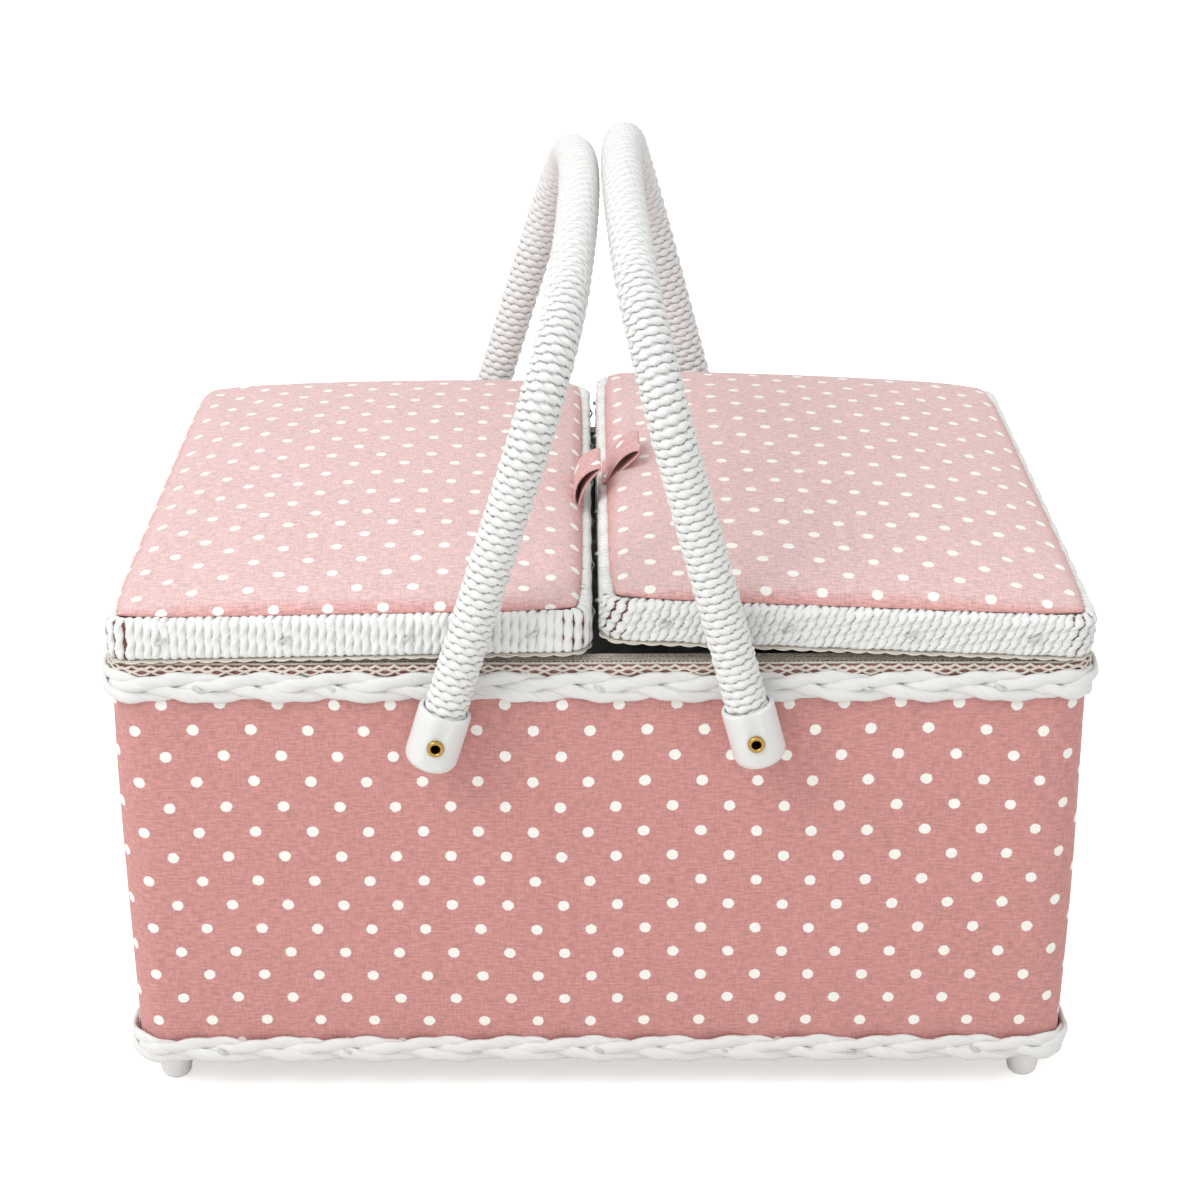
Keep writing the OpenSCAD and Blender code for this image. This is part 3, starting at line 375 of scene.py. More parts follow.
def make_finishes(sizes, colours):
    FINISHES.update({
        "dusty_pink_dotted_cotton": woven_cotton("dusty_pink_cotton", colours.wall_pink, colours.dot, sizes),
        # The lids' cotton: painted light on its level parts and painted shade on its steep edges
        "pale_pink_dotted_cotton": woven_cotton("pale_pink_cotton", colours.lid_pink_lit_from_above, colours.dot, sizes,
                                                edge_shade_ground=colours.edge_pink_in_shade),
        "tab_cotton": woven_cotton("tab_cotton", colours.tab_pink, colours.dot, sizes),
        "cream_cotton": woven_cotton("cream_cotton", colours.cream, colours.dot, sizes, dotted=False),
        "white_paper_cord": twisted_paper_cord("paper_cord", colours.cord),
        "plaited_paper_cord": twisted_paper_cord("plaited_paper_cord", colours.plait_cord),
        "cotton_crochet_lace": crocheted_cotton("crochet_cotton", colours.lace),
        "fibreboard": pressed_fibreboard("hardboard", colours.board),
        "cane": bent_cane("rattan_cane", linear("#c8a676")),
        # The rims' core: cloth-covered cane with painted shade, dark where it shows between the cord's turns
        "rim_core": bent_cane("rim_cane_painted_shade", colours.rim_cloth_in_shade),
        "painted_wood": painted_wood("gloss_paint_on_wood", colours.paint),
        "white_tray_plastic": moulded_plastic("tray_polypropylene", colours.tray, 0.32, False),
        "milky_cap_plastic": moulded_plastic("milky_polypropylene", colours.cap, 0.38, True),
        "galvanised_wire": metal("galvanised_steel", colours.wire, 0.32, 0.75),
        "brass": metal("polished_brass", colours.brass, 0.16, 0.7),
    })


# ---------------------------------------------------------------- meshes


def loose():
    """Deselects everything, because an operator acts on all that is selected."""
    if bpy.context.object and bpy.context.object.mode != "OBJECT":
        bpy.ops.object.mode_set(mode="OBJECT")
    bpy.ops.object.select_all(action="DESELECT")


def pick(piece):
    loose()
    piece.select_set(True)
    bpy.context.view_layer.objects.active = piece


def skin(rows, cloth, close_rows=False, close_cols=False):
    """A patch over a grid of points in millimetres, with its cloth map. The grid's columns run left to
    right and its rows upwards, as seen from outside."""
    n, m = rows.shape[:2]
    i, j = np.meshgrid(np.arange(n if close_rows else n - 1), np.arange(m if close_cols else m - 1),
                       indexing="ij")
    i, j = i.ravel(), j.ravel()
    i2, j2 = (i + 1) % n, (j + 1) % m
    faces = np.stack([i * m + j, i * m + j2, i2 * m + j2, i2 * m + j], 1)
    corners = np.stack([cloth[i, j], cloth[i, j + 1], cloth[i + 1, j + 1], cloth[i + 1, j]], 1)
    return rows.reshape(-1, 3), faces.tolist(), corners.reshape(-1, 2)


def lid_of_ring(first, count, flip):
    """A closing face over a ring of points."""
    ring = list(range(first, first + count))
    return ring[::-1] if flip else ring


def capped(points, faces, corners, around):
    """Closes both ends of a tube whose rings have so many points."""
    faces = faces + [lid_of_ring(0, around, True), lid_of_ring(len(points) - around, around, False)]
    return points, faces, np.concatenate([corners, np.zeros((2 * around, 2))])


def join_patches(patches):
    points, faces, corners, base = [], [], [], 0
    for p, f, c in patches:
        points.append(p)
        faces += [[k + base for k in face] for face in f]
        corners.append(c)
        base += len(p)
    return np.concatenate(points), faces, np.concatenate(corners)


def make_piece(name, patches, finish, body, place=None, replaces=(), smooth=40):
    """One object from patches in millimetres, with its finish, on its body."""
    points, faces, cloth = join_patches(patches)
    points = points * MM
    if place is not None:
        turn = np.array(place)
        points = points @ turn[:3, :3].T + turn[:3, 3]
    mesh = bpy.data.meshes.new(name)
    mesh.from_pydata(points.tolist(), [], faces)
    layer = mesh.uv_layers.new(name="cloth")
    layer.data.foreach_set("uv", cloth.astype(np.float32).ravel())
    mesh.validate()
    piece = bpy.data.objects.new(name, mesh)
    bpy.context.scene.collection.objects.link(piece)
    settle(piece, finish, body, replaces)
    mesh.polygons.foreach_set("use_smooth", np.ones(len(mesh.polygons), dtype=bool))
    if smooth:
        pick(piece)
        bpy.ops.object.shade_smooth_by_angle(angle=math.radians(smooth))
    return piece


def settle(piece, finish, body, replaces=()):
    """Gives a piece its finish and body, and hides what it stands for."""
    piece.data.materials.clear()
    piece.data.materials.append(FINISHES[finish])
    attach(piece, body)
    if replaces:
        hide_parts(*replaces)


def mark(piece, kind, test):
    """Selects the edges or faces that pass a test, in edit mode."""
    bpy.ops.object.mode_set(mode="EDIT")
    bpy.ops.mesh.select_mode(type=kind)
    bpy.ops.mesh.select_all(action="DESELECT")
    bpy.ops.object.mode_set(mode="OBJECT")
    for part in piece.data.edges if kind == "EDGE" else piece.data.polygons:
        part.select = test(part)
    bpy.ops.object.mode_set(mode="EDIT")


def heights(piece, edge):
    """Heights of an edge's ends."""
    return [piece.data.vertices[k].co.z for k in edge.vertices]


def modify(piece, kind, apply=True, **settings):
    """Adds a modifier, and makes it part of the mesh unless it is to stay."""
    modifier = piece.modifiers.new(kind, kind)
    for name, value in settings.items():
        setattr(modifier, name, value)
    if apply:
        pick(piece)
        bpy.ops.object.modifier_apply(modifier=modifier.name)
    return modifier


def place_now(piece):
    """Moves an object's place into its mesh."""
    pick(piece)
    bpy.ops.object.transform_apply(location=True, rotation=True, scale=True)


def lid_place(side):
    """The lid's own frame, in metres: from the hinge's axis towards the other lid and up."""
    hinge = Vector(JOINTS[side + "_lid_hinge"]["pos_m"])
    turn = Matrix.Rotation(math.radians(SIDES[side] * TILT[side]), 4, "Y")
    return Matrix.Translation(hinge) @ turn


def lid_x(side, out):
    """x in the lid's frame at a distance from the hinge's axis."""
    return -SIDES[side] * out


def rim_place(side):
    """The lid's frame with its origin at the middle of the rim."""
    return lid_place(side) @ Matrix.Translation((lid_x(side, RIM_MID[side]) * MM, 0, 0))


def handle_place(side):
    pivot = Vector(JOINTS[side + "_handle_pivot"]["pos_m"])
    return Matrix.Translation(pivot) @ Matrix.Rotation(math.radians(-SIDES[side] * HOOP_LEAN[side]), 4, "Y")


def round_track(s, half_w, half_d, r):
    """Points, outward normals and directions at lengths s round a rounded rectangle seen from above,
    anticlockwise from the middle of its front."""
    w, d, bend = 2 * (half_w - r), 2 * (half_d - r), math.pi * r / 2
    runs = [w / 2, bend, d, bend, w, bend, d, bend, w / 2]
    starts = [(0, -half_d), (half_w - r, -half_d), (half_w, -half_d + r), (half_w, half_d - r),
              (half_w - r, half_d), (-half_w + r, half_d), (-half_w, half_d - r), (-half_w, -half_d + r),
              (-half_w + r, -half_d)]
    heads = np.array([0, 0, 1, 1, 2, 2, 3, 3, 4]) * math.pi / 2
    ends = np.cumsum(runs)
    s = np.mod(np.asarray(s, dtype=float), ends[-1])
    k = np.minimum(np.searchsorted(ends, s, side="right"), 8)
    t = s - (ends - runs)[k]
    curved = (k % 2 == 1)
    head = heads[k] + np.where(curved, t / r, 0)
    first = np.array(starts)[k]
    out0 = np.stack([np.sin(heads[k]), -np.cos(heads[k])], 1)
    out = np.stack([np.sin(head), -np.cos(head)], 1)
    ahead = np.stack([np.cos(head), np.sin(head)], 1)
    point = np.where(curved[:, None], first - r * out0 + r * out, first + t[:, None] * ahead)
    return point, out, ahead


def track_length(half_w, half_d, r):
    return 4 * (half_w + half_d) - 8 * r + 2 * math.pi * r


def flat3(xy, z):
    return np.concatenate([xy, np.broadcast_to(np.asarray(z, dtype=float).reshape(-1, 1), (len(xy), 1))], 1)


def cord(path, out, half_w, half_t, ply=None, sides=8, pinch=0.3, closed=False, phase=0.0, taper=False):
    """A cord along a path, its thickness towards out. With a ply it is two plies twisted together."""
    ahead = np.roll(path, -1, 0) - np.roll(path, 1, 0) if closed else np.gradient(path, axis=0)
    ahead /= np.linalg.norm(ahead, axis=1)[:, None]
    out = out - ahead * np.sum(out * ahead, 1)[:, None]
    out /= np.linalg.norm(out, axis=1)[:, None]
    wide = np.cross(ahead, out)
    steps = np.linalg.norm(np.diff(path, axis=0), axis=1)
    far = np.concatenate([[0], np.cumsum(steps)])
    gap = np.linalg.norm(path[0] - path[-1]) if closed else 0.0
    if closed and ply:
        ply = (far[-1] + gap) / round((far[-1] + gap) / ply)
    theta = 2 * math.pi * np.arange(sides) / sides
    radius = np.hypot(np.cos(theta), (1 - pinch) * np.sin(theta)) if ply else np.ones(sides)
    angle = theta[None, :] + (2 * math.pi * far[:, None] / ply if ply else 0.0) + phase
    grow = np.ones(len(path))
    if taper:
        grow[[0, -1]] = 0.4
    x = radius * np.cos(angle) * half_t * grow[:, None]
    y = radius * np.sin(angle) * half_w * grow[:, None]
    rows = path[:, None, :] + out[:, None, :] * x[:, :, None] + wide[:, None, :] * y[:, :, None]
    lengths = np.concatenate([far, [far[-1] + gap]]) if closed else far
    cloth = np.stack(np.meshgrid(np.arange(sides + 1) / sides, lengths * MM), -1)
    points, faces, corners = skin(rows, cloth, close_rows=closed, close_cols=True)
    return (points, faces, corners) if closed else capped(points, faces, corners, sides)


def fill_with_air(piece, held, pressure, reach, frames=20):
    """Swells a cloth shell from inside while its held points stay. No point moves further than reach."""
    pick(piece)
    before = np.array([v.co for v in piece.data.vertices])
    group = piece.vertex_groups.new(name="held")
    group.add([int(k) for k in held], 1.0, "REPLACE")
    cloth = modify(piece, "CLOTH", apply=False)
    for name, value in {"vertex_group_mass": "held", "quality": 6, "mass": 0.15, "tension_stiffness": 12,
                        "compression_stiffness": 12, "bending_stiffness": 0.4, "use_pressure": True,
                        "uniform_pressure_force": pressure}.items():
        setattr(cloth.settings, name, value)
    cloth.settings.effector_weights.gravity = 0
    cloth.point_cache.frame_start = 1
    cloth.point_cache.frame_end = frames
    scene = bpy.context.scene
    for f in range(1, frames + 1):
        scene.frame_set(f)
    graph = bpy.context.evaluated_depsgraph_get()
    after = np.array([v.co for v in piece.evaluated_get(graph).data.vertices])
    scene.frame_set(1)
    piece.modifiers.remove(cloth)
    piece.vertex_groups.clear()
    move = after - before
    size = np.linalg.norm(move, axis=1)[:, None]
    move *= np.minimum(1, reach * MM / np.maximum(size, 1e-9))
    piece.data.vertices.foreach_set("co", (before + move).astype(np.float32).ravel())
    piece.data.update()


def smooth_once(piece):
    modify(piece, "SUBSURF", levels=1, render_levels=1, uv_smooth="PRESERVE_BOUNDARIES")


def boxed(node):
    """The low and high corners of a CAD node, in millimetres."""
    return [np.array(corner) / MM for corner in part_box(node)]


def grid(columns, rows):
    """Coordinates from -1 to 1 over a sheet."""
    return np.meshgrid(np.linspace(-1, 1, columns), np.linspace(-1, 1, rows))


def mapped(u, v):
    """A cloth map from lengths in millimetres along columns and rows."""
    return np.stack(np.meshgrid(u, v), -1) * MM


def ripple(a, b, seed):
    """A smooth, repeatable unevenness between -1 and 1 over two lengths in millimetres."""
    rng = np.random.default_rng(seed)
    total = np.zeros(np.broadcast(a, b).shape)
    for _ in range(6):
        ka, kb = rng.uniform(-0.05, 0.05, 2)
        total += np.sin(ka * a + kb * b + rng.uniform(0, 6.28)) / 6
    return total


# ---------------------------------------------------------------- the box


class CARRIER_OT_cover(bpy.types.Operator):
    """Makes the padded cotton cover of the box, turned over the walls' top edge"""

    bl_idname = "carrier.cover"
    bl_label = "Padded cover"

    def execute(self, context):
        sizes = context.scene.carrier_sizes
        low, high = boxed("body_cover")
        half_w, half_d, r = high[0], high[1], WALL_CORNER
        total = track_length(half_w, half_d, r)
        # The cotton's seam is at the middle of the back
        around = np.linspace(-total / 2, total / 2, 361)[:-1]
        up = np.linspace(low[2], high[2] - 1.2, 46)
        rows = []
        point, out, _ = round_track(around, half_w, half_d, r)
        flat = np.abs(out).max(1) ** 8
        for z in up:
            t = (z - low[2]) / (high[2] - low[2])
            puff = sizes.wall_puff * np.sin(math.pi * t) ** 0.5 * (0.35 + 0.65 * flat)
            puff = puff * (1 + 0.5 * ripple(around, z, 3)) - 0.3
            rows.append(flat3(point + out * puff[:, None], z))
        # Over the top edge to the well, and back inside against the boards
        for inset, z in ((0.4, high[2] - 0.4), (1.2, high[2] + 0.1), (4.0, high[2] + 0.3),
                         (8.2, high[2] + 0.3), (8.5, high[2] + 0.05), (8.2, high[2] + 0.02),
                         (2.45, high[2] - 0.1), (2.45, low[2] + 0.2), (1.0, low[2] - 0.1),
                         (0.2, low[2] - 0.1)):
            rows.append(flat3(point - out * inset, z))
        rows = np.array(rows)
        lengths = np.concatenate([[0], np.cumsum(np.linalg.norm(np.diff(rows[:, 0], axis=0), axis=1))])
        lengths = np.concatenate([lengths, [lengths[-1] + 1]]) + low[2]
        cloth = mapped(np.concatenate([around, [total / 2]]) + WALL_DOT[0], lengths - WALL_DOT[1])
        piece = make_piece("padded_cover", [skin(rows, cloth, close_rows=True, close_cols=True)],
                           "dusty_pink_dotted_cotton", "box", replaces=["body_cover"], smooth=0)
        n = len(around)
        held = [i * n + j for i in range(len(rows)) if i < 2 or i >= len(up) - 1 for j in range(n)]
        fill_with_air(piece, held, 0.6, 0.8, frames=12)
        return {"FINISHED"}


class CARRIER_OT_plaits(bpy.types.Operator):
    """Plaits three strands of thick paper cord round the top and bottom edges of the box"""

    bl_idname = "carrier.plaits"
    bl_label = "Plaits"

    def execute(self, context):
        sizes = context.scene.carrier_sizes
        for node, name, reach in (("top_braid", "top_plait", 3.6), ("bottom_braid", "bottom_plait", 3.1)):
            low, high = boxed(node)
            half_w, half_d, r = high[0] - 0.8, high[1] - 0.8, PLAIT_CORNER
            s = along(half_w, half_d, r, 1.25, 1)[0]
            total = track_length(half_w, half_d, r)
            repeat = total / round(total / sizes.plait_repeat)
            patches = []
            for strand in range(3):
                a = 2 * math.pi * (s / repeat + strand / 3)
                point, out, _ = round_track(s + 0.9 * np.sin(a), half_w, half_d, r)
                z = (low[2] + high[2]) / 2 + reach * np.sin(a) * (1 + 0.06 * ripple(s, 0 * s, 7 + strand))
                path = flat3(point + out * np.sin(2 * a + 0.2)[:, None], z + 0.3 * ripple(s, 0 * s, 17))
                patches.append(cord(path, flat3(out, 0), sizes.plait_strand / 2, 1.4, ply=26, sides=12,
                                    pinch=0.25, closed=True, phase=strand * 2.1))
            make_piece(name, patches, "plaited_paper_cord", "box", replaces=[node], smooth=0)
        return {"FINISHED"}


def along(half_w, half_d, r, step, parts):
    """Steps round a track that close up: lengths, points, outward normals and each one's count of parts."""
    total = track_length(half_w, half_d, r)
    count = round(total / step) * parts if parts > 1 else int(total / step)
    s = np.arange(count) * total / count
    point, out, _ = round_track(s, half_w, half_d, r)
    return s, point, out, np.arange(count) / parts


def yarn(path, facing, thick, flat=1.0):
    """A closed thread of the lace."""
    return cord(path, facing, thick, thick * flat, sides=5, closed=True)


class CARRIER_OT_wall_lace(bpy.types.Operator):
    """Crochets the lace that lies on the walls' top edge and turns down to the plait"""

    bl_idname = "carrier.wall_lace"
    bl_label = "Lace on the walls"

    def execute(self, context):
        sizes = context.scene.carrier_sizes
        high = boxed("wall_lace")[1]
        top = high[2] - 0.1
        half_w, half_d, r = high[0] - 1.0, high[1] - 1.0, WALL_CORNER
        patches = []
        for inset, z, thick in ((8.0, top, 0.5), (6.6, top, 0.38), (4.9, top, 0.38), (3.2, top, 0.38),
                                (0.6, top - 0.1, 0.55)):
            corner = max(2.0, r - inset)
            s, point, out, _ = along(half_w - inset, half_d - inset, corner, 2.6, 1)
            wave = 0.25 * ripple(s * 3, 0 * s, int(z * 7 + corner * 10))
            patches.append(yarn(flat3(point + out * wave[:, None], z), flat3(0 * out, 1.0), thick))
        # Netting between the rows
        for inset, reach, step, lift in ((7.3, 0.8, 2.8, 0.0), (5.75, 0.95, 3.1, 0.05),
                                         (1.9, 1.35, 3.6, 0.0)):
            _, point, out, turn = along(half_w, half_d, r, step, 6)
            a = 2 * math.pi * turn
            path = flat3(point - out * (inset + reach * np.sin(a))[:, None], top + lift + 0.25 * np.cos(a))
            patches.append(yarn(path, flat3(0 * out, 1.0), 0.36))
        # Loops that hang over the edge down to the plait
        _, point, out, turn = along(half_w, half_d, r, sizes.scallop, 12)
        for drop, reach, thick, offset in ((0.0, 1.5, 0.55, 0.0), (0.9, 1.5, 0.55, 0.5),
                                           (2.3, 1.6, 0.5, 0.0)):
            bow = np.abs(np.sin((turn + offset) * math.pi))
            path = flat3(point + out * (0.9 + 0.1 * drop), top - 0.1 - drop - reach * bow)
            patches.append(yarn(path, flat3(out, 0.3), thick))
        make_piece("wall_lace_crochet", patches, "cotton_crochet_lace", "box", replaces=["wall_lace"],
                   smooth=0)
        return {"FINISHED"}


class CARRIER_OT_lining(bpy.types.Operator):
    """Lines the inside of the box with cream cotton"""

    bl_idname = "carrier.lining"
    bl_label = "Lining"

    def execute(self, context):
        low, high = boxed("body_lining")
        half_w, half_d, floor = high[0] - 0.6, high[1] - 0.6, low[2] + 0.6
        total = track_length(half_w, half_d, 2.0)
        s = np.linspace(0, total, 181)[:-1]
        point, out, _ = round_track(s, half_w, half_d, 2.0)
        rows = [flat3(point - out * (0.25 + 0.25 * ripple(s, z, 5))[:, None], z)
                for z in np.linspace(high[2] - 0.2, floor + 2, 16)]
        for inset, z in ((0.7, floor + 0.6), (2.5, floor), (60, floor), (110, floor)):
            rows.append(flat3(point * [1 - inset / half_w, 1 - inset / half_d], z))
        cloth = mapped(np.concatenate([s, [total]]), np.arange(len(rows)) * 11.0)
        points, faces, corners = skin(np.array(rows), cloth, close_cols=True)
        faces.append(lid_of_ring(len(points) - len(s), len(s), False))
        corners = np.concatenate([corners, points[-len(s):, :2] * MM])
        piece = make_piece("cotton_lining", [(points, faces, corners)], "cream_cotton", "box",
                           replaces=["body_lining"])
        return {"FINISHED"}


class CARRIER_OT_feet(bpy.types.Operator):
    """Turns the four painted feet"""

    bl_idname = "carrier.feet"
    bl_label = "Feet"

    def execute(self, context):
        for node in ("foot_front_left", "foot_front_right", "foot_back_left", "foot_back_right"):
            low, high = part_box(node)
            middle, tall = (low + high) / 2, high.z - low.z
            loose()
            bpy.ops.mesh.primitive_cone_add(vertices=64, radius1=FOOT_LOW_R, radius2=FOOT_TOP_R, depth=tall,
                                            location=middle)
            foot = bpy.context.object
            foot.name = foot.data.name = "turned_" + node
            place_now(foot)
            mark(foot, "EDGE", lambda edge: max(heights(foot, edge)) < low.z + 0.001)
            bpy.ops.mesh.bevel(offset=0.0026, segments=6, profile=0.5, affect="EDGES")
            # The screw's hole
            mark(foot, "FACE", lambda face: face.normal.z > 0.9)
            bpy.ops.mesh.inset(thickness=FOOT_TOP_R - FOOT_HOLE_R)
            bpy.ops.mesh.extrude_region_move(TRANSFORM_OT_translate={"value": (0, 0, -0.009)})
            bpy.ops.object.mode_set(mode="OBJECT")
            bpy.ops.object.shade_smooth_by_angle(angle=math.radians(35))
            settle(foot, "painted_wood", "box", [node])
        return {"FINISHED"}


# ---------------------------------------------------------------- the lids


class CARRIER_OT_rims(bpy.types.Operator):
    """Binds paper cord round both rims, turn beside turn"""

    bl_idname = "carrier.rims"
    bl_label = "Bound rims"

    def execute(self, context):
        sizes = context.scene.carrier_sizes
        middle = (RIM_LOW + RIM_HIGH) / 2
        for side, lean, twist, pinch in (("left", -0.06, 1.25, 0.36), ("right", 0.3, 0.85, 0.52)):
            half_w, half_d = (RIM_OUT[side] - RIM_IN - RIM_THICK) / 2, (RIM_DEEP - RIM_THICK) / 2
            r = RIM_CORNER - RIM_THICK / 2
            total = track_length(half_w, half_d, r)
            turns = round(total / sizes.cord_wide)
            # One turn's line round the rim's section: half its thickness, half its height and its corner
            section = (2.35, 7.35, 2.0)
            steps = 36
            q = np.arange(turns * steps)
            cross, cross_out, _ = round_track(q / steps * track_length(*section), *section)
            rng = np.random.default_rng(11 if side == "left" else 12)
            knots = 4 * turns + 1
            jitter = np.interp(q / steps, np.arange(knots) / 4, rng.normal(0, 0.24, knots))
            s = q / steps * total / turns + lean * cross[:, 1] + jitter
            point, out, _ = round_track(s, half_w, half_d, r)
            patches = [cord(flat3(point + out * cross[:, :1], middle + cross[:, 1]),
                            flat3(out * cross_out[:, :1], cross_out[:, 1]), sizes.cord_wide / 2 + 0.55, 1.25,
                            ply=twist * sizes.cord_ply, pinch=pinch, closed=True)]
            # The cord's underside closes the straight runs; at the corners its turns fan out
            wide, high, corner = 2.3, 7.3, 0.5
            arc = math.pi * corner / 4
            ring = np.cumsum([wide - corner, *([arc, arc, 2 * (high - corner), arc, arc,
                                                2 * (wide - corner)] * 2)[:-1]])
            under, _, _ = round_track(ring, wide, high, corner)
            bend = math.pi * r / 2
            runs = [half_w - r, 2 * (half_d - r), 2 * (half_w - r), 2 * (half_d - r), half_w - r]
            for k, run in enumerate(runs):
                at = sum(runs[:k]) + k * bend
                at = at + np.linspace(0 if k == 0 else 1.0, run if k == 4 else run - 1.0, 12)
                point, out, _ = round_track(at, half_w, half_d, r)
                rows = np.stack([flat3(point + out * a, middle + b) for a, b in under], 1)
                cloth = np.stack(np.meshgrid(np.arange(len(under) + 1) / len(under), at * MM), -1)
                patches.append(capped(*skin(rows[::-1], cloth, close_cols=True), len(under)))
            make_piece(side + "_rim_cord", patches, "white_paper_cord", side + "_lid", place=rim_place(side),
                       replaces=[side + "_lid_binding"], smooth=0)
        return {"FINISHED"}


class CARRIER_OT_pads(bpy.types.Operator):
    """Stuffs the padded tops of both lids"""

    bl_idname = "carrier.pads"
    bl_label = "Padded lid tops"

    def execute(self, context):
        for side in SIDES:
            half_w, half_d = PAD_WIDE[side] / 2 - 0.3, PAD_DEEP / 2 - 0.3
            across, deep, over, over_z = 53, 77, 3.6, 18.5

            def spread(count):
                t = np.linspace(-1, 1, count)
                return 0.6 * t + 0.4 * np.sin(t * math.pi / 2)

            u, v = np.meshgrid(spread(across), spread(deep))
            hump = np.maximum(0, (1 - u * u) * (1 - v * v)) ** 0.28
            x = half_w * u * (1 - 0.012 * v ** 8)
            y = half_d * v * (1 - 0.012 * u ** 8)
            sag = 0.35 * ripple(x, y, 21 if side == "left" else 22)
            z = over_z + (PAD_CROWN - over_z + 0.3 + sag) * hump
            # The stuffing pushes the cloth out over the rim's top, least at the corners
            out_x = over * (1 - 0.4 * v ** 10) * np.sign(u) * np.abs(u) ** 8
            out_y = over * (1 - 0.4 * u ** 10) * np.sign(v) * np.abs(v) ** 8
            seat = np.stack([x, y, z], -1)
            top = seat + np.stack([out_x, out_y, 0 * z], -1)
            # The cotton wraps down and under on to the board
            ring = [(0, j) for j in range(across - 1)] + [(i, across - 1) for i in range(deep - 1)]
            ring += [(deep - 1, across - 1 - j) for j in range(across - 1)]
            ring += [(deep - 1 - i, 0) for i in range(deep - 1)]
            edge = np.array([top[i, j] for i, j in ring])
            tucked = np.array([seat[i, j] for i, j in ring])
            skirt = []
            for part, height in ((1.0, over_z), (1.0, 17.6), (0.6, 17.2), (0.1, 17.2), (0.0, PAD_EDGE),
                                 (0.0, 12.0), (0.0, PAD_LOW + 0.6), (-0.4, PAD_LOW + 0.1)):
                row = tucked + (edge - tucked) * part
                row[:, 2] = height
                skirt.append(row)
            skirt = np.array(skirt[::-1])
            # Map: lengths over the crown from its middle
            du, dv = (np.linalg.norm(np.diff(top, axis=axis), axis=2) for axis in (1, 0))
            lu = np.concatenate([np.zeros((deep, 1)), np.cumsum(du, 1)], 1)
            lv = np.concatenate([np.zeros((1, across)), np.cumsum(dv, 0)], 0)
            lu = (lu - lu[:, across // 2, None]) * DOT_DRAW[side]
            lv -= lv[deep // 2]
            cloth = (np.stack([lu, lv], -1) + DOT_SHIFT[side]) * MM
            points, faces, corners = skin(top, cloth)
            base, m, last = len(points), len(ring), len(skirt) - 1
            edge_index = [i * across + j for i, j in ring]
            edge_cloth = np.array([cloth[i, j] for i, j in ring])
            levels = [[base + k * m + n for n in range(m)] for k in range(last)] + [edge_index]
            corners = [corners]
            for k in range(last):
                here, above = edge_cloth - [0, (last - k) * DROP], edge_cloth - [0, (last - k - 1) * DROP]
                for n in range(m):
                    n2 = (n + 1) % m
                    faces.append([levels[k][n], levels[k][n2], levels[k + 1][n2], levels[k + 1][n]])
                    corners.append(np.array([here[n], here[n2], above[n2], above[n]]))
            points = np.concatenate([points, skirt[:-1].reshape(-1, 3)])
            piece = make_piece(side + "_padded_top", [(points, faces, np.concatenate(corners))],
                               "pale_pink_dotted_cotton", side + "_lid", place=rim_place(side),
                               replaces=[side + "_lid_pad"], smooth=0)
            held = edge_index + list(range(base, len(points)))
            fill_with_air(piece, held, 2.2, 2.5)
            smooth_once(piece)
            # Closed under the board last, because a face of so many sides is slow to subdivide
            bpy.ops.object.mode_set(mode="EDIT")
            bpy.ops.mesh.select_all(action="DESELECT")
            bpy.ops.mesh.select_mode(type="EDGE")
            bpy.ops.mesh.select_non_manifold()
            bpy.ops.mesh.edge_face_add()
            bpy.ops.object.mode_set(mode="OBJECT")
        return {"FINISHED"}


class CARRIER_OT_lid_lace(bpy.types.Operator):
    """Crochets the scalloped lace under both rims"""

    bl_idname = "carrier.lid_lace"
    bl_label = "Lace under the rims"

    def execute(self, context):
        sizes = context.scene.carrier_sizes
        for side in SIDES:
            half_w, half_d, r = np.array([RIM_OUT[side] - RIM_IN, RIM_DEEP, 2 * RIM_CORNER]) / 2 - 1.3
            top = RIM_LOW - 0.35
            patches = []
            for inset, thick in ((0.2, 0.4), (2.0, 0.32), (3.8, 0.4)):
                _, point, out, _ = along(half_w, half_d, r, 2.8, 1)
                patches.append(yarn(flat3(point - out * inset, top), flat3(0 * out, 1.0), thick))
            _, point, out, turn = along(half_w, half_d, r, 3.4, 6)
            a = 2 * math.pi * turn
            patches.append(yarn(flat3(point - out * (2.0 + 1.5 * np.sin(a))[:, None], top + 0.1 * np.cos(a)),
                                flat3(0 * out, 1.0), 0.3))
            _, point, out, turn = along(half_w, half_d, r, sizes.scallop, 12)
            for reach, thick in ((1.0, 0.34), (0.5, 0.28)):
                bow = np.abs(np.sin(turn * math.pi)) * reach
                path = flat3(point + out * (0.1 + 0.9 * bow)[:, None], top - 0.3 * bow)
                patches.append(yarn(path, flat3(0 * out, 1.0), thick, 0.8))
            make_piece(side + "_rim_lace", patches, "cotton_crochet_lace", side + "_lid",
                       place=rim_place(side), replaces=[side + "_lid_lace"], smooth=0)
        return {"FINISHED"}


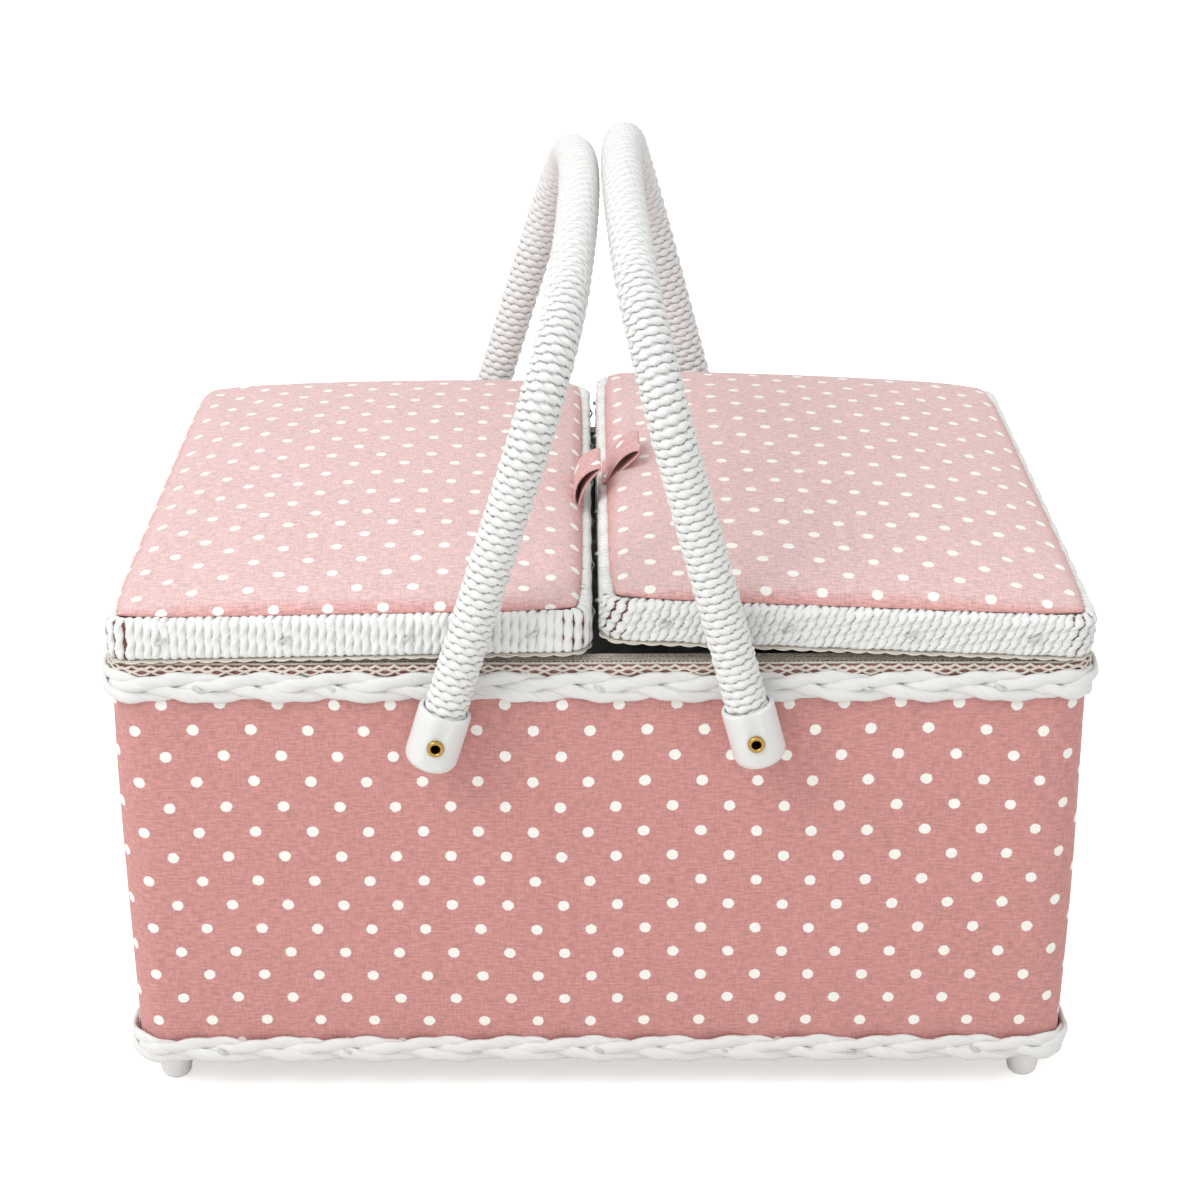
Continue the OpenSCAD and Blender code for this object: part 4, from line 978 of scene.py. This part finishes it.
class CARRIER_OT_lid_linings(bpy.types.Operator):
    """Lines the undersides of both lids"""

    bl_idname = "carrier.lid_linings"
    bl_label = "Lid linings"

    def execute(self, context):
        for side in SIDES:
            u, v = grid(41, 61)
            half_w, half_d = PAD_WIDE[side] / 2 - 0.2, PAD_DEEP / 2 - 0.2
            x, y = half_w * u, half_d * v
            edge = np.maximum(np.abs(u), np.abs(v)) ** 24
            z = LINING_LOW + 0.35 + 0.25 * ripple(x, y, 31) * (1 - edge) + 0.7 * edge
            rows = np.stack([x[:, ::-1], y, z], -1)
            cloth = np.stack([x, y], -1) * MM
            piece = make_piece(side + "_lid_cotton", [skin(rows, cloth)], "cream_cotton", side + "_lid",
                               place=rim_place(side), replaces=[side + "_lid_lining"])
        return {"FINISHED"}


class CARRIER_OT_pocket(bpy.types.Operator):
    """Gathers the pocket under the left lid"""

    bl_idname = "carrier.pocket"
    bl_label = "Pocket"

    def execute(self, context):
        u, v = grid(61, 91)
        x, y = 48 * u, 75 * v
        mouth = np.clip(1 - (v + 1) / 0.28, 0, 1)
        belly = (1 - np.abs(u) ** 10) * (1 - np.abs(v) ** 14)
        pleats = np.sin(u * 48 * 2 * math.pi / 5.2 + 0.8 * np.sin(5 * u)) * np.exp(-((v + 0.86) / 0.22) ** 2)
        z = LINING_LOW - 0.3 - belly * (1.7 + 0.6 * ripple(x, y, 41) + 0.55 * pleats) * (1 - 0.35 * mouth)
        rows = np.stack([x[:, ::-1], y, z], -1)
        cloth = np.stack([x, y], -1) * MM
        piece = make_piece("gathered_pocket", [skin(rows, cloth)], "cream_cotton", "left_lid",
                           place=rim_place("left"), replaces=["notions_pocket"])
        return {"FINISHED"}


class CARRIER_OT_pincushion(bpy.types.Operator):
    """Stuffs the pincushion under the right lid"""

    bl_idname = "carrier.pincushion"
    bl_label = "Pincushion"

    def execute(self, context):
        low = boxed("pincushion")[0]
        # Its middle's distance from the hinges, and its radius
        out, r = 135.0, 30.0
        place = lid_place("right")
        tilt = math.radians(TILT["right"])
        drop = place.translation.z / MM + LINING_LOW * math.cos(tilt) + out * math.sin(tilt) - low[2] - 0.3
        turns, rings = 72, 16
        a = np.linspace(0, 2 * math.pi, turns + 1)[:-1]
        rows = []
        for k in range(rings):
            t = k / (rings - 1)
            radius = r * math.sin(t * math.pi / 2) ** 0.85 if k else 0.6
            depth = drop * (math.cos(t * math.pi / 2) ** 0.9 if k < rings - 1 else 0)
            gather = 1 + 0.012 * np.cos(18 * a) * t ** 3
            rows.append(np.stack([radius * gather * np.cos(a), radius * gather * np.sin(a),
                                  LINING_LOW - 0.1 - depth - 0 * a], 1))
        rows.append(rows[-1] * [0.96, 0.96, 1] + [0, 0, 0.4])
        rows = np.array(rows)
        rows[:, :, 0] += lid_x("right", out)
        cloth = np.concatenate([rows, rows[:, :1]], 1)[:, :, :2] * MM
        points, faces, corners = skin(rows, cloth, close_cols=True)
        faces = [f[::-1] for f in faces]
        corners = corners.reshape(-1, 4, 2)[:, ::-1].reshape(-1, 2)
        piece = make_piece("stuffed_pincushion", [capped(points, faces, corners, turns)],
                           "dusty_pink_dotted_cotton", "right_lid", place=place,
                           replaces=["pincushion"], smooth=0)
        pick(piece)
        bpy.ops.object.mode_set(mode="EDIT")
        bpy.ops.mesh.select_all(action="SELECT")
        bpy.ops.mesh.normals_make_consistent(inside=False)
        bpy.ops.object.mode_set(mode="OBJECT")
        return {"FINISHED"}


class CARRIER_OT_tabs(bpy.types.Operator):
    """Folds the two cloth pull tabs"""

    bl_idname = "carrier.tabs"
    bl_label = "Pull tabs"

    def execute(self, context):
        bulge, wide, thick = 4 / math.sqrt(27), 26.0, 1.2
        for side, lean, bow, front, loop, tall, in_by in (("left", 0.0, -28.0, 19.0, 2.6, 19.0, 2.2),
                                                          ("right", 31.0, 10.0, 0.0, 2.8, 17.5, 0.8)):
            a = np.radians(np.linspace(14, 346, 61))
            px = np.sin(a) * (loop / 2 / bulge * np.sin(a / 2) + thick / 2)
            pz = np.sin(a / 2) ** 2 * tall - np.cos(a) * thick / 2
            # The loop bends over as it rises
            turn = np.radians(lean + bow * np.clip(pz / tall, 0, 1) ** 1.5)
            rx, rz = px * np.cos(turn) - pz * np.sin(turn), px * np.sin(turn) + pz * np.cos(turn)
            foot = np.array([[2.6, 0.5], [1.6, 0.55]])
            line = np.concatenate([foot, np.stack([rx, rz + thick], 1), foot[::-1] * [-1, 1]])
            # Away from the hinge is +x for the left lid and -x for the right one
            line[:, 0] = -SIDES[side] * line[:, 0] + lid_x(side, RIM_OUT[side] - RIM_THICK / 2 - in_by)
            line[:, 1] += RIM_HIGH
            w = np.linspace(-wide / 2, wide / 2, 21)
            belly = np.sin(np.linspace(0, math.pi, len(line)))
            rows = np.stack([np.stack([line[:, 0], y * (1 - 0.02 * belly) - front, line[:, 1] + c * belly], 1)
                             for y, c in zip(w, 0.25 * np.sin(w / wide * math.pi * 3))], 1)
            far = np.concatenate([[0], np.cumsum(np.linalg.norm(np.diff(line, axis=0), axis=1))])
            cloth = mapped(w + 6, far - 3)
            if side == "right":
                rows, cloth = rows[:, ::-1], cloth[:, ::-1]
            piece = make_piece(side + "_tab_loop", [skin(rows, cloth)], "tab_cotton",
                               side + "_lid", place=lid_place(side), replaces=[side + "_pull_tab"], smooth=0)
            modify(piece, "SOLIDIFY", thickness=0.9 * MM, offset=0)
            smooth_once(piece)
        return {"FINISHED"}


# ---------------------------------------------------------------- the handles


def hoop_line(side, s):
    """Centre line of a hoop by length from the winding's front end: y, z and the outward angle."""
    tall = HOOP_HIGH[side]
    end_y = LEG_Y - HOOP_CORNER * (1 - math.cos(HOOP_ARC))
    half_arc = math.pi / 2 - HOOP_ARC
    crown_r = end_y / math.sin(half_arc)
    top = tall - crown_r * (1 - math.cos(half_arc)) - HOOP_CORNER * math.sin(HOOP_ARC)
    leg, bend, crown = top - WINDING_LOW, HOOP_CORNER * HOOP_ARC, crown_r * 2 * half_arc
    total = 2 * leg + 2 * bend + crown
    near = np.minimum(s, total - s)
    a1 = math.pi - (near - leg) / HOOP_CORNER
    a2 = math.pi - HOOP_ARC - (near - leg - bend) / crown_r
    y = np.where(near < leg, -LEG_Y, np.where(near < leg + bend, HOOP_CORNER * (1 + np.cos(a1)) - LEG_Y,
                                              crown_r * np.cos(a2)))
    z = np.where(near < leg, WINDING_LOW + near, np.where(near < leg + bend, top + HOOP_CORNER * np.sin(a1),
                                                          tall - crown_r * (1 - np.sin(a2))))
    a = np.where(near < leg, math.pi, np.where(near < leg + bend, a1, a2))
    back = s > total / 2
    return np.where(back, -y, y), z, np.where(back, math.pi - a, a), total


class CARRIER_OT_windings(bpy.types.Operator):
    """Winds paper cord round both handles from cap to cap"""

    bl_idname = "carrier.windings"
    bl_label = "Wound handles"

    def execute(self, context):
        sizes = context.scene.carrier_sizes
        for side in SIDES:
            total = hoop_line(side, np.array([0.0]))[3]
            turns, steps = total / sizes.cord_wide, 52
            count = int(turns * steps)
            q = np.arange(count + 1)
            rng = np.random.default_rng(31 if side == "left" else 32)
            wobble = np.interp(q / steps, np.arange(int(turns) + 3), rng.normal(0, 0.1, int(turns) + 3))
            s = np.clip(q / count * total + wobble, 0, total)
            y, z, a, _ = hoop_line(side, s)
            phi = 2 * math.pi * q / steps
            out = np.stack([np.sin(phi), np.cos(phi) * np.cos(a), np.cos(phi) * np.sin(a)], 1)
            path = np.stack([0 * y, y, z], 1) + out * WINDING_R
            winding = cord(path, out, sizes.cord_wide / 2 + 0.45, 1.4, ply=0.93 * sizes.cord_ply, pinch=0.53)
            # The turns' underside, which closes the winding between them
            y, z, _, _ = hoop_line(side, np.linspace(0.3, total - 0.3, 140))
            facing = np.stack([1 + 0 * y, 0 * y, 0 * y], 1)
            under = cord(np.stack([0 * y, y, z], 1), facing, 6.6, 6.6, sides=32)
            make_piece(side + "_handle_cord", [winding, under], "white_paper_cord", side + "_handle",
                       place=handle_place(side), replaces=[side + "_handle_winding"], smooth=0)
        return {"FINISHED"}


class CARRIER_OT_caps(bpy.types.Operator):
    """Moulds the four end caps of the handles"""

    bl_idname = "carrier.caps"
    bl_label = "End caps"

    def execute(self, context):
        for side in SIDES:
            for end, s in (("front", -1), ("back", 1)):
                node = f"{side}_{end}_cap"
                loose()
                bpy.ops.mesh.primitive_cylinder_add(vertices=72, radius=CAP_R * MM,
                                                    depth=(CAP_BELOW + CAP_ABOVE) * MM,
                                                    location=(0, 0, (CAP_ABOVE - CAP_BELOW) / 2 * MM))
                cap = bpy.context.object
                cap.name = cap.data.name = node + "_moulded"
                place_now(cap)
                for at, offset, segments in ((-CAP_BELOW, 5.2, 8), (CAP_ABOVE, 1.1, 4)):
                    mark(cap, "EDGE", lambda edge: all(abs(z - at * MM) < 1e-5 for z in heights(cap, edge)))
                    bpy.ops.mesh.bevel(offset=offset * MM, segments=segments, profile=0.5, affect="EDGES")
                # The pocket for the wound end, and under it the one for the core
                mark(cap, "FACE", lambda face: face.normal.z > 0.99)
                bpy.ops.mesh.inset(thickness=0.4 * MM)
                bpy.ops.mesh.extrude_region_move(TRANSFORM_OT_translate={"value": (0, 0, -8.0 * MM)})
                bpy.ops.mesh.inset(thickness=2.6 * MM)
                bpy.ops.mesh.extrude_region_move(TRANSFORM_OT_translate={"value": (0, 0, -13.3 * MM)})
                for facing in (-1, 1):
                    bpy.ops.mesh.select_all(action="SELECT")
                    bpy.ops.mesh.bisect(plane_co=(0, facing * CAP_FLAT * MM, 0), plane_no=(0, facing, 0),
                                        use_fill=True, clear_outer=True, clear_inner=False)
                bpy.ops.object.mode_set(mode="OBJECT")
                # The rivet's bore through the outer wall
                bpy.ops.mesh.primitive_cylinder_add(vertices=32, radius=2.4 * MM, depth=24 * MM,
                                                    location=(0, 0, 0), rotation=(math.pi / 2, 0, 0))
                drill = bpy.context.object
                place_now(drill)
                modify(cap, "BOOLEAN", operation="DIFFERENCE", object=drill)
                bpy.data.objects.remove(drill)
                modify(cap, "BEVEL", width=0.35 * MM, segments=2, limit_method="ANGLE",
                       angle_limit=math.radians(40))
                cap.data.transform(handle_place(side) @ Matrix.Translation((0, s * LEG_Y * MM, 0)))
                bpy.ops.object.shade_smooth_by_angle(angle=math.radians(30))
                settle(cap, "milky_cap_plastic", side + "_handle", [node])
        return {"FINISHED"}


# ---------------------------------------------------------------- small metal parts


def islands(node):
    """Low and high corners of the separate solids in a CAD node, in metres."""
    mesh = frame["nodes"][node].data
    points = np.array([v.co for v in mesh.vertices])
    keys, label = np.unique(np.round(points / 2e-5).astype(np.int64), axis=0, return_inverse=True)
    label = label.ravel()
    parent = list(range(len(keys)))

    def root(k):
        while parent[k] != k:
            parent[k] = parent[parent[k]]
            k = parent[k]
        return k

    for polygon in mesh.polygons:
        ids = [label[k] for k in polygon.vertices]
        for k in ids[1:]:
            parent[root(ids[0])] = root(k)
    groups = {}
    for k, corner in enumerate(label):
        groups.setdefault(root(corner), []).append(points[k])
    return [(np.min(g, 0), np.max(g, 0)) for g in groups.values()]


def staple_model():
    """One staple: a flat wire crown with rounded shoulders and two short legs, facing -Y."""
    loose()
    bpy.ops.mesh.primitive_cube_add(size=1, location=(0, -0.00025, 0))
    staple = bpy.context.object
    staple.scale = (0.0052, 0.0005, 0.0014)
    place_now(staple)
    bpy.ops.object.mode_set(mode="EDIT")
    bpy.ops.mesh.select_all(action="SELECT")
    bpy.ops.mesh.subdivide(number_cuts=1)
    bpy.ops.object.mode_set(mode="OBJECT")
    for v in staple.data.vertices:
        if abs(v.co.x) > 0.0025:
            v.co.y += 0.0011
            v.co.x *= 0.985
    modify(staple, "BEVEL", width=0.00012, segments=2)
    return staple


class CARRIER_OT_staples(bpy.types.Operator):
    """Drives the staples into plaits and rims"""

    bl_idname = "carrier.staples"
    bl_label = "Staples"

    def execute(self, context):
        model = staple_model()
        # How far each crown stands out past the CAD staple's, in millimetres
        for node, body, slant, proud in (("braid_staples", "box", 25, 0.5),
                                         ("left_lid_staples", "left_lid", -26, 0.2),
                                         ("right_lid_staples", "right_lid", -26, 0.2)):
            side = body[:-4]
            centre = (rim_place(side).translation.x if side in SIDES else 0.0, 0.0)
            copies = []
            for low, high in islands(node):
                middle, size = (low + high) / 2, high - low
                # Its legs, longer than its crown, go in along Y at the front and back, else along X
                axis = int(size[1] > size[0] if abs(size[0] - size[1]) > 1e-4 else abs(middle[1]) > 0.12)
                away = middle[axis] - centre[axis]
                face = middle.copy()
                face[axis] = (high if away > 0 else low)[axis] + math.copysign(proud * MM, away)
                turn = (math.pi if away > 0 else 0) if axis else math.copysign(math.pi / 2, away)
                copy = model.copy()
                copy.data = model.data.copy()
                bpy.context.scene.collection.objects.link(copy)
                copy.data.transform(Matrix.Translation(Vector(face)) @ Matrix.Rotation(turn, 4, "Z")
                                    @ Matrix.Rotation(math.radians(slant), 4, "Y"))
                copies.append(copy)
            loose()
            for copy in copies:
                copy.select_set(True)
            bpy.context.view_layer.objects.active = copies[0]
            bpy.ops.object.join()
            joined = bpy.context.object
            joined.name = joined.data.name = node + "_wire"
            bpy.ops.object.shade_smooth_by_angle(angle=math.radians(40))
            settle(joined, "galvanised_wire", body, [node])
        bpy.data.objects.remove(model)
        return {"FINISHED"}


# CAD nodes that stay as they are, and their finish
KEPT = {
    "fibreboard": ["base_board", "front_panel", "back_panel", "left_panel", "right_panel", "tray_rests",
                   "left_lid_board", "right_lid_board"],
    "white_tray_plastic": ["tray", "pivot_spacers"],
    "cane": ["left_handle_core", "right_handle_core"],
    # The rims' frames take the painted shade colour of the cloth under the cord
    "rim_core": ["left_lid_frame", "right_lid_frame"],
    "galvanised_wire": ["foot_screws"],
    "brass": ["left_hinge_body_leaves", "right_hinge_body_leaves", "left_hinge_pins", "right_hinge_pins",
              "hinge_body_screws", "left_front_rivet", "left_back_rivet", "right_front_rivet",
              "right_back_rivet", "pivot_washers", "left_hinge_lid_leaves", "right_hinge_lid_leaves",
              "left_hinge_lid_screws", "right_hinge_lid_screws"],
}


class CARRIER_OT_finishes(bpy.types.Operator):
    """Makes the materials and gives the rigid CAD parts theirs"""

    bl_idname = "carrier.finishes"
    bl_label = "Finishes"

    def execute(self, context):
        make_finishes(context.scene.carrier_sizes, context.scene.carrier_colours)
        for finish, nodes in KEPT.items():
            for node in nodes:
                part = frame["nodes"][node]
                part.data.materials.clear()
                part.data.materials.append(FINISHES[finish])
                if finish in ("brass", "white_tray_plastic"):
                    modify(part, "WELD", apply=False, merge_threshold=0.00001)
                    modify(part, "BEVEL", apply=False, width=0.00012 if finish == "brass" else 0.0004,
                           segments=2, limit_method="ANGLE", angle_limit=math.radians(50),
                           harden_normals=False)
        return {"FINISHED"}


# ---------------------------------------------------------------- the stage


class CARRIER_OT_stage(bpy.types.Operator):
    """Sets the camera, the lamps and the white floor"""

    bl_idname = "carrier.stage"
    bl_label = "Stage"

    def execute(self, context):
        scene = context.scene
        # The camera that was fitted to the photo's corners, edges and rivets
        yaw, pitch, roll = 7.25285732e-03, 0.406348591, 6.98828651e-04
        place, focal_pixels, photo_pixels = (-0.00637, -0.994915, 0.585208), 2536.74, 1200
        ahead = Vector((math.sin(yaw) * math.cos(pitch), math.cos(yaw) * math.cos(pitch), -math.sin(pitch)))
        right = Vector((math.cos(yaw), -math.sin(yaw), 0))
        up = right.cross(ahead)
        across = math.cos(roll) * right + math.sin(roll) * up
        upward = -math.sin(roll) * right + math.cos(roll) * up
        camera = bpy.data.objects.new("camera", bpy.data.cameras.new("camera"))
        camera.data.sensor_width = 36
        camera.data.lens = 36 * focal_pixels / photo_pixels
        camera.data.clip_end = 20
        camera.matrix_world = Matrix.Translation(place) @ Matrix(
            [[*v] for v in zip(across, upward, -ahead)]).to_4x4()
        scene.collection.objects.link(camera)
        scene.camera = camera
        scene.view_settings.view_transform = "Standard"
        loose()
        bpy.ops.mesh.primitive_plane_add(size=8, location=(0, 0, 0))
        floor = bpy.context.object
        floor.name = "floor"
        # White paper that glows a little for the camera alone, so that it comes out as white as the photo's
        paper = cleared(bpy.data.materials.new("studio_paper"))
        seen = add(paper, "ShaderNodeLightPath").outputs
        matt = add(paper, "ShaderNodeBsdfDiffuse", {"Color": linear("#f3f2f0")}).outputs[0]
        glow = add(paper, "ShaderNodeEmission", {"Color": (1, 1, 1, 1), "Strength": 0.55}).outputs[0]
        lit = add(paper, "ShaderNodeAddShader", {0: matt, 1: glow}).outputs[0]
        shown = add(paper, "ShaderNodeMixShader", {0: seen["Is Camera Ray"], 1: matt, 2: lit}).outputs[0]
        add(paper, "ShaderNodeOutputMaterial", {"Surface": shown})
        floor.data.materials.append(paper)
        # The room's light is a little dimmer than what is seen of it
        world = scene.world = cleared(bpy.data.worlds.new("studio"))
        seen = add(world, "ShaderNodeLightPath").outputs
        eye = maths(world, "MAXIMUM", seen["Is Camera Ray"], seen["Is Glossy Ray"])
        eye = maths(world, "MAXIMUM", eye, seen["Is Transmission Ray"])
        soft, white = (add(world, "ShaderNodeBackground", {"Color": (1, 1, 1, 1), "Strength": strength})
                       .outputs[0] for strength in (0.9, 1.0))
        shown = add(world, "ShaderNodeMixShader", {0: eye, 1: soft, 2: white}).outputs[0]
        add(world, "ShaderNodeOutputWorld", {"Surface": shown})
        for name, size, energy, place in (("key_lamp", 1.0, 13.0, (-0.9, -0.75, 1.4)),
                                          ("top_lamp", 1.4, 2.0, (0.1, 0.5, 1.9))):
            lamp = bpy.data.objects.new(name, bpy.data.lights.new(name, "AREA"))
            lamp.data.size = size
            lamp.data.energy = energy
            lamp.location = place
            lamp.rotation_euler = (Vector((0, 0, 0.12)) - Vector(place)).to_track_quat("-Z", "Y").to_euler()
            scene.collection.objects.link(lamp)
        return {"FINISHED"}


class CARRIER_PT_panel(bpy.types.Panel):
    bl_label = "Sewing carrier"
    bl_idname = "CARRIER_PT_panel"
    bl_space_type = "VIEW_3D"
    bl_region_type = "UI"
    bl_category = "Carrier"

    def draw(self, context):
        for group in (context.scene.carrier_sizes, context.scene.carrier_colours):
            for name in group.bl_rna.properties.keys():
                if name not in ("rna_type", "name"):
                    self.layout.prop(group, name)
        for operator in OPERATORS:
            self.layout.operator(operator.bl_idname)


OPERATORS = (
    CARRIER_OT_stage, CARRIER_OT_finishes, CARRIER_OT_cover, CARRIER_OT_plaits, CARRIER_OT_wall_lace,
    CARRIER_OT_lining, CARRIER_OT_feet, CARRIER_OT_rims, CARRIER_OT_pads, CARRIER_OT_lid_lace,
    CARRIER_OT_lid_linings, CARRIER_OT_pocket, CARRIER_OT_pincushion, CARRIER_OT_tabs,
    CARRIER_OT_windings, CARRIER_OT_caps, CARRIER_OT_staples,
)


def register():
    for group in (CarrierSizes, CarrierColours, *OPERATORS, CARRIER_PT_panel):
        bpy.utils.register_class(group)
    bpy.types.Scene.carrier_sizes = bpy.props.PointerProperty(type=CarrierSizes)
    bpy.types.Scene.carrier_colours = bpy.props.PointerProperty(type=CarrierColours)


def unregister():
    del bpy.types.Scene.carrier_colours, bpy.types.Scene.carrier_sizes
    for group in (CARRIER_PT_panel, *reversed(OPERATORS), CarrierColours, CarrierSizes):
        bpy.utils.unregister_class(group)


def main():
    register()
    for operator in OPERATORS:
        family, name = operator.bl_idname.split(".")
        getattr(getattr(bpy.ops, family), name)()


if __name__ == "__main__":
    main()
